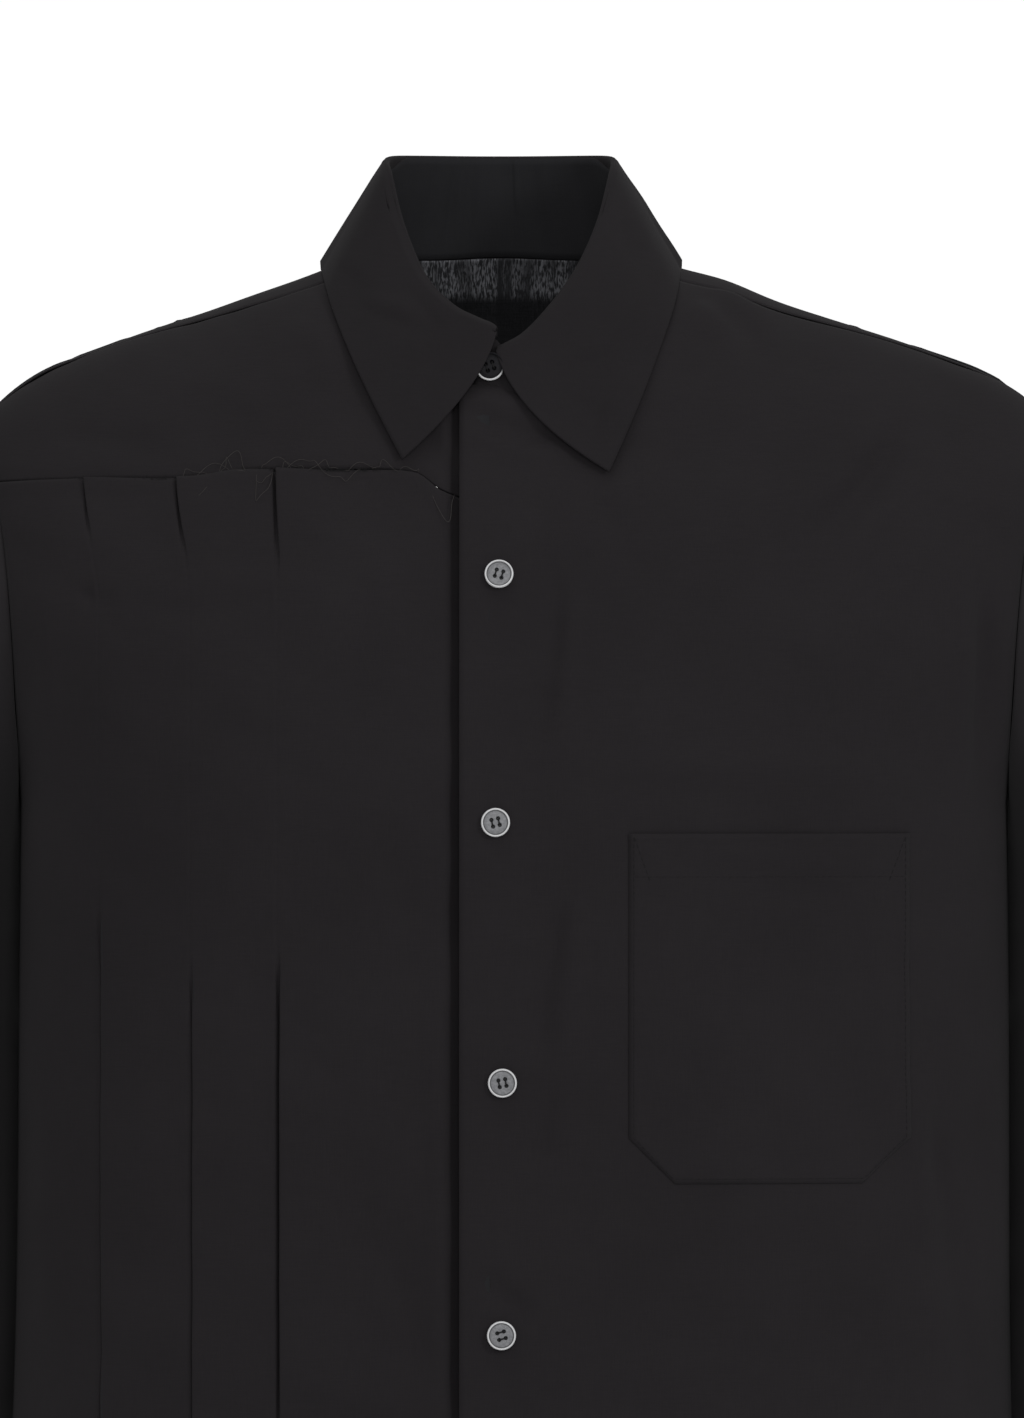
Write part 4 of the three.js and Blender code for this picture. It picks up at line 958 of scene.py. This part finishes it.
def button_material(name, low, high, shine):
    """Button with a pale rim, dark in its holes, with painted shade in the groove at the rim's foot and along
    the thread bars; the shares of rim and of holes with painted shade are mesh attributes.
    """
    s = Shader(name)
    rim = s.node("ShaderNodeAttribute", {"attribute_name": "rim"}, output="Fac")
    hole_and_painted_shade = s.node("ShaderNodeAttribute", {"attribute_name": "hole_and_painted_shade"}, output="Fac")
    mottle = s.noise(900, detail=3.0).above(0.3, 0.75)
    face = s.mix(mottle, low, high)
    colour = s.mix(hole_and_painted_shade, s.mix(rim, face, (0.93, 0.93, 0.94, 1)), (0.005, 0.005, 0.006, 1))
    return s.finish(colour, 0.42, mottle, 0.15, 0.0001, Specular_IOR_Level=shine)


BUTTON = button_material("button_face", (0.2, 0.203, 0.214, 1), (0.3, 0.303, 0.316, 1), 0.5)
# The neck button: a copy of the button's material painted dark, as painted shade under the collar's leaves
SHADED_BUTTON = button_material("neck_button_painted_shade", (0.013, 0.0125, 0.0145, 1), (0.018, 0.0175, 0.02, 1),
                                0.06)
# Button: how far it stands off the cloth, where its holes lie, and its height at each radius
BUTTON_LIFT = 0.8
HOLE_OFF = 1.5
BUTTON_PROFILE = np.array([
    (0, 1.75), (3.8, 1.75), (4.9, 1.6), (5.35, 1.55), (5.7, 2.35), (6.05, 2.3), (6.35, 1.5),
])

# Front buttons from the top: place across, height and turn
FRONT_BUTTONS = (
    (-0.9, -145.8, -17), (-2.4, -253.9, 14), (0.6, -367.6, 11), (0.2, -477.9, -74), (0.0, -589.1, 5),
    (0.0, -700.3, -8), (0.0, -811.5, 12), (0.0, -922.7, 3),
)


def build_button(name, seat, facing, twist, material=BUTTON, painted_highlight_angle=None):
    """A four-hole button: its height is a profile of the radius, sunk at four holes, with two bars of doubled
    thread. With painted_highlight_angle, the rim is a painted highlight, pale only round that angle."""
    rings = np.concatenate([np.linspace(0.02, 3.2, 26), np.linspace(3.3, 6.35, 22)])
    turns = np.arange(72) * 2 * math.pi / 72
    r, a = np.meshgrid(rings, turns, indexing="ij")
    x, y = r * np.cos(a), r * np.sin(a)
    height = through(BUTTON_PROFILE[:, 0], BUTTON_PROFILE[:, 1], r)
    nearest = np.hypot(np.abs(x) - HOLE_OFF, np.abs(y) - HOLE_OFF)
    sunk = 1 - ease((nearest - 0.68) / 0.26)
    front = np.stack([x, y, height - 1.5 * sunk], -1)
    back_rings = np.array([6.3, 6.0, 4.0, 0.02])
    rb, ab = np.meshgrid(back_rings, turns, indexing="ij")
    back = np.stack([rb * np.cos(ab), rb * np.sin(ab), np.array([0.7, 0.15, 0.0, 0.0])[:, None] + 0 * ab], -1)
    points = np.concatenate([front, back])
    c, s = math.cos(twist * RAD), math.sin(twist * RAD)
    spin = np.array([(c, s, 0), (-s, c, 0), (0, 0, 1)])
    raised = seat + BUTTON_LIFT * np.asarray(facing) / np.linalg.norm(facing)
    placed = turned((points @ spin).reshape(-1, 3), facing) + raised
    obj = make_object(name + "_disc", placed, grid_faces(points.shape[0], 72, True), material)
    flat = np.zeros((len(back_rings), 72))
    # Painted shade: near black in the groove at the rim's foot and in strips along the thread bars, as well
    # as in the holes
    groove = 0.85 * np.exp(-((r - 5.25) / 0.2)**2)
    slot = 0.55 * np.exp(-((np.abs(x) - HOLE_OFF) / 0.5)**4) * (np.abs(y) < HOLE_OFF)
    rim = ease((r - 5.35) / 0.25)
    # Painted highlight: with an angle given, the pale rim is kept only round that angle
    if painted_highlight_angle is not None:
        rim = rim * ease((np.cos((a - (painted_highlight_angle - twist) * RAD)) + 0.1) / 0.7)
    for key, values in (("rim", rim), ("hole_and_painted_shade", np.maximum.reduce([sunk, groove, slot]))):
        shares = np.vstack([values, flat]).ravel().astype(np.float32)
        obj.data.attributes.new(key, "FLOAT", "POINT").data.foreach_set("value", shares)
    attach(obj, "root")
    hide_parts(name)
    t = np.linspace(-1, 1, 9)
    bars = np.stack([np.stack([HOLE_OFF * i + 0.1 * k + 0 * t, HOLE_OFF * t, 1.95 - 0.9 * t**4], -1)
                     for i in (-1, 1) for k in (-1, 1)])
    paths = turned((bars @ spin).reshape(-1, 3), facing).reshape(bars.shape) + raised
    tubes(name + "_thread", paths, 0.2, THREAD)


def build_front_buttons():
    """The front's buttons, each seated square to the cloth, and the one at the neck, painted dark as shade
    with a painted highlight on its rim.
    """
    for k, (x, z, twist) in enumerate(FRONT_BUTTONS):
        at = np.array([x]), np.array([z])
        here, above = on_form(*at, -1)[0], on_form(at[0], at[1] + 20, -1)[0]
        facing = np.array([0, -20, above[1] - here[1]])
        facing /= np.linalg.norm(facing)
        build_button("front_button_%d" % (k + 1), here + facing * left_lift(*at)[0], facing, twist)
    y = 0.4 * neck_points(np.array([180.0]))[0, 1] + 0.6 * fold_points(np.array([180.0]))[0, 1]
    seat = np.array([-4.8, y - 0.5, -54])
    # The neck button is painted dark as shade, with a painted highlight on its rim round one side
    build_button("neck_button", seat, np.array([-0.05, -1, 0.1]), 20, SHADED_BUTTON, 255)


def front_surface(x, z, off):
    """Points just off the front's cloth."""
    base = on_form(x, z, -1)
    base[..., 1] -= off
    return base


# Longer threads along the raw edge: place across, width and height of the loop
FRAY_LOOPS = (
    (-138, 14, 4), (-128, 18, 6), (-122, 9, 7), (-118, 12, 9), (-108, 16, -5), (-106, 7, -13), (-100, 14, 5),
    (-86, 18, 5), (-78, 14, 4), (-70, 17, -4), (-62, 13, 3), (-52, 12, 4), (-40, 9, 2), (-24, 10, -12),
    (-134, 9, -7), (-93, 9, 3),
)


def build_fray():
    """Loose threads of the raw edge: short ends all along it, and longer ones that loop over the cloth."""
    rng = np.random.default_rng(7)
    t = np.linspace(0, 1, 9)
    short = []
    for x in np.concatenate([rng.uniform(-218, -38, 150), rng.uniform(-145, -60, 150)]):
        z = float(chest_seam(np.float64(x)))
        long, way = rng.uniform(0.6, 2.6), rng.uniform(-0.9, 0.9)
        px = x + long * way * t + 0.3 * np.sin(5 * t + x)
        pz = z - 0.6 + long * t
        short.append(front_surface(px, pz, 0.9 + 0.7 * t))
    tubes("raw_edge_fibres", short, 0.09, THREAD, sides=4)
    t = np.linspace(0, 1, 26)
    long = []
    for x, wide, high in FRAY_LOOPS:
        z = float(chest_seam(np.float64(x)))
        a, b, c = rng.uniform(0, 6.28, 3)
        px = x + wide * (t - 0.5) + 1.5 * np.sin(6 * t + a)
        pz = z - 0.4 + high * np.sin(np.pi * t**rng.uniform(0.7, 1.4)) + 0.9 * np.sin(11 * t + b)
        long.append(front_surface(px, pz, 1.5 + 0.6 * np.sin(7 * t + c)))
    tubes("raw_edge_threads", long, 0.12, FRAY)


left_front, left_grid = build_left_front()
tucked, tucked_grid = build_tucked_front()
upper, upper_grid = build_right_upper()
yoke, yoke_grid = build_yoke()
back, back_grid = build_back()
sleeves = {name: build_sleeve(name, side) for name, side in (("left", 1), ("right", -1))}
stand, stand_grid = build_stand()
collar, collar_grid = build_collar()
pocket, pocket_grid = build_pocket()
build_front_buttons()
build_fray()


def hem_rows(name, grid, flip, first, last):
    """A row of stitches a little above the hem."""
    wide = np.linspace(first, last, 80)
    row = np.interp(HEM_DEPTH, (grid[:, 10, 2] - HEM_HEIGHT)[::-1], np.arange(len(grid))[::-1])
    stitches(name, grid, flip, [(np.full(80, row), wide)], THREAD)


hem_rows("left_hem_stitches", left_grid, -1, 7, left_grid.shape[1] - 2)
hem_rows("right_hem_stitches", tucked_grid, -1, 1, tucked_grid.shape[1] - 14)
hem_rows("back_hem_stitches", back_grid, 1, 1, back_grid.shape[1] - 2)


def grid_area(grid, wrap=False):
    """Area of a grid in square metres."""
    if wrap:
        grid = np.concatenate([grid, grid[:, :1]], 1)
    a, b = grid[1:, :-1] - grid[:-1, :-1], grid[:-1, 1:] - grid[:-1, :-1]
    return float(np.linalg.norm(np.cross(a, b), axis=-1).sum()) * MM * MM


def cut_sheet(obj, grid, width, length, held, rests_on, wrap=False):
    """Works out a piece of cloth's area from its grid, at most the width times the length of its cut in
    millimetres.
    """
    area = min(grid_area(grid, wrap), width * length * MM * MM)
    width * MM
    length * MM


# Each piece laid flat: object, grid, width, length, how it is held and what carries it
CUTS = (
    (left_front, left_grid, 350, 1080, "hung", ["back_yoke"]),
    (tucked, tucked_grid, 345, 980, "hung", ["right_front_upper"]),
    (upper, upper_grid, 262, 140, "hung", ["back_yoke"]),
    (yoke, yoke_grid, 520, 190, "draped", ["collar_stand"]),
    (back, back_grid, 630, 970, "hung", ["back_yoke"]),
    (stand, stand_grid, 390, 60, "folded", ["back_yoke"]),
    (collar, collar_grid, 420, 110, "folded", ["collar_stand"]),
    (pocket, pocket_grid, 125, 158, "laid", ["left_front"]),
)
for cut in CUTS:
    cut_sheet(*cut)
SLEEVE_CUTS = ((440, 530), (20, 135), (240, 60))
for name, pieces in sleeves.items():
    carriers = ("back_yoke", name + "_sleeve", name + "_sleeve")
    for (obj, grid, wrap), size, carrier in zip(pieces, SLEEVE_CUTS, carriers):
        cut_sheet(obj, grid, *size, "hung" if wrap else "folded", [carrier], wrap)


# Studio: a pale floor below, a white surround, and soft lamps above, in front and to the wearer's left
def stage_plane(name, size, height, colour):
    """A level square of one colour."""
    half = size / MM / 2
    square = np.array([(half * i, half * j, height) for i, j in ((-1, -1), (1, -1), (1, 1), (-1, 1))])
    paint = plain(name + "_paint", colour, 0.9, 0.1)
    obj = make_object(name, square, np.array([[0, 1, 2, 3]]), paint, False)


stage_plane("floor", 14, -1330, (0.86, 0.86, 0.87, 1))


def lamp(name, place, target, size, power):
    """A square area lamp at a place, aimed at a target, in metres and watts."""
    data = bpy.data.lights.new(name, "AREA")
    data.size = size
    data.energy = power
    obj = bpy.data.objects.new(name, data)
    bpy.context.scene.collection.objects.link(obj)
    way = np.array(target) - np.array(place)
    obj.location = place
    tilt = math.atan2(math.hypot(way[0], way[1]), -way[2])
    obj.rotation_euler = (tilt, 0, math.atan2(way[1], way[0]) - math.pi / 2)


lamp("key", (2.3, -2.5, 1.0), (0, 0, -0.3), 0.9, 21)
lamp("top", (-0.4, -0.6, 2.6), (0, 0, -0.3), 1.6, 10)
lamp("fill", (0, -2.4, 0.35), (0, 0, -0.3), 0.7, 8.7)

world = bpy.data.worlds.new("surround")
bpy.context.scene.world = world
world.use_nodes = True
world.node_tree.nodes["Background"].inputs["Color"].default_value = (1, 1, 1, 1)

# The surround lights the cloth softly and is white behind it
sight = world.node_tree.nodes.new("ShaderNodeLightPath")
strength = world.node_tree.nodes.new("ShaderNodeMapRange")
strength.inputs["To Min"].default_value = 0.365
strength.inputs["To Max"].default_value = 1.02
world.node_tree.links.new(sight.outputs["Is Camera Ray"], strength.inputs["Value"])
world.node_tree.links.new(strength.outputs["Result"], world.node_tree.nodes["Background"].inputs["Strength"])

# Camera: level, far off with a long lens, so that one pixel of the photograph is 0.44 mm on the chest
PHOTO_HEIGHT = 1418
PIXEL = 0.44
DISTANCE = 9.0
CHEST_DEPTH = 0.055
FRAME_HEIGHT = PHOTO_HEIGHT * PIXEL * MM
camera_data = bpy.data.cameras.new("camera")
camera_data.sensor_fit = "VERTICAL"
camera_data.sensor_height = 36
camera_data.lens = camera_data.sensor_height * (DISTANCE - CHEST_DEPTH) / FRAME_HEIGHT
camera_data.clip_end = 100
camera = bpy.data.objects.new("camera", camera_data)
bpy.context.scene.collection.objects.link(camera)
camera.location = (0.0048, -DISTANCE, -0.2042)
camera.rotation_euler = (math.pi / 2, 0, 0)
bpy.context.scene.camera = camera
bpy.context.scene.view_settings.view_transform = "Standard"
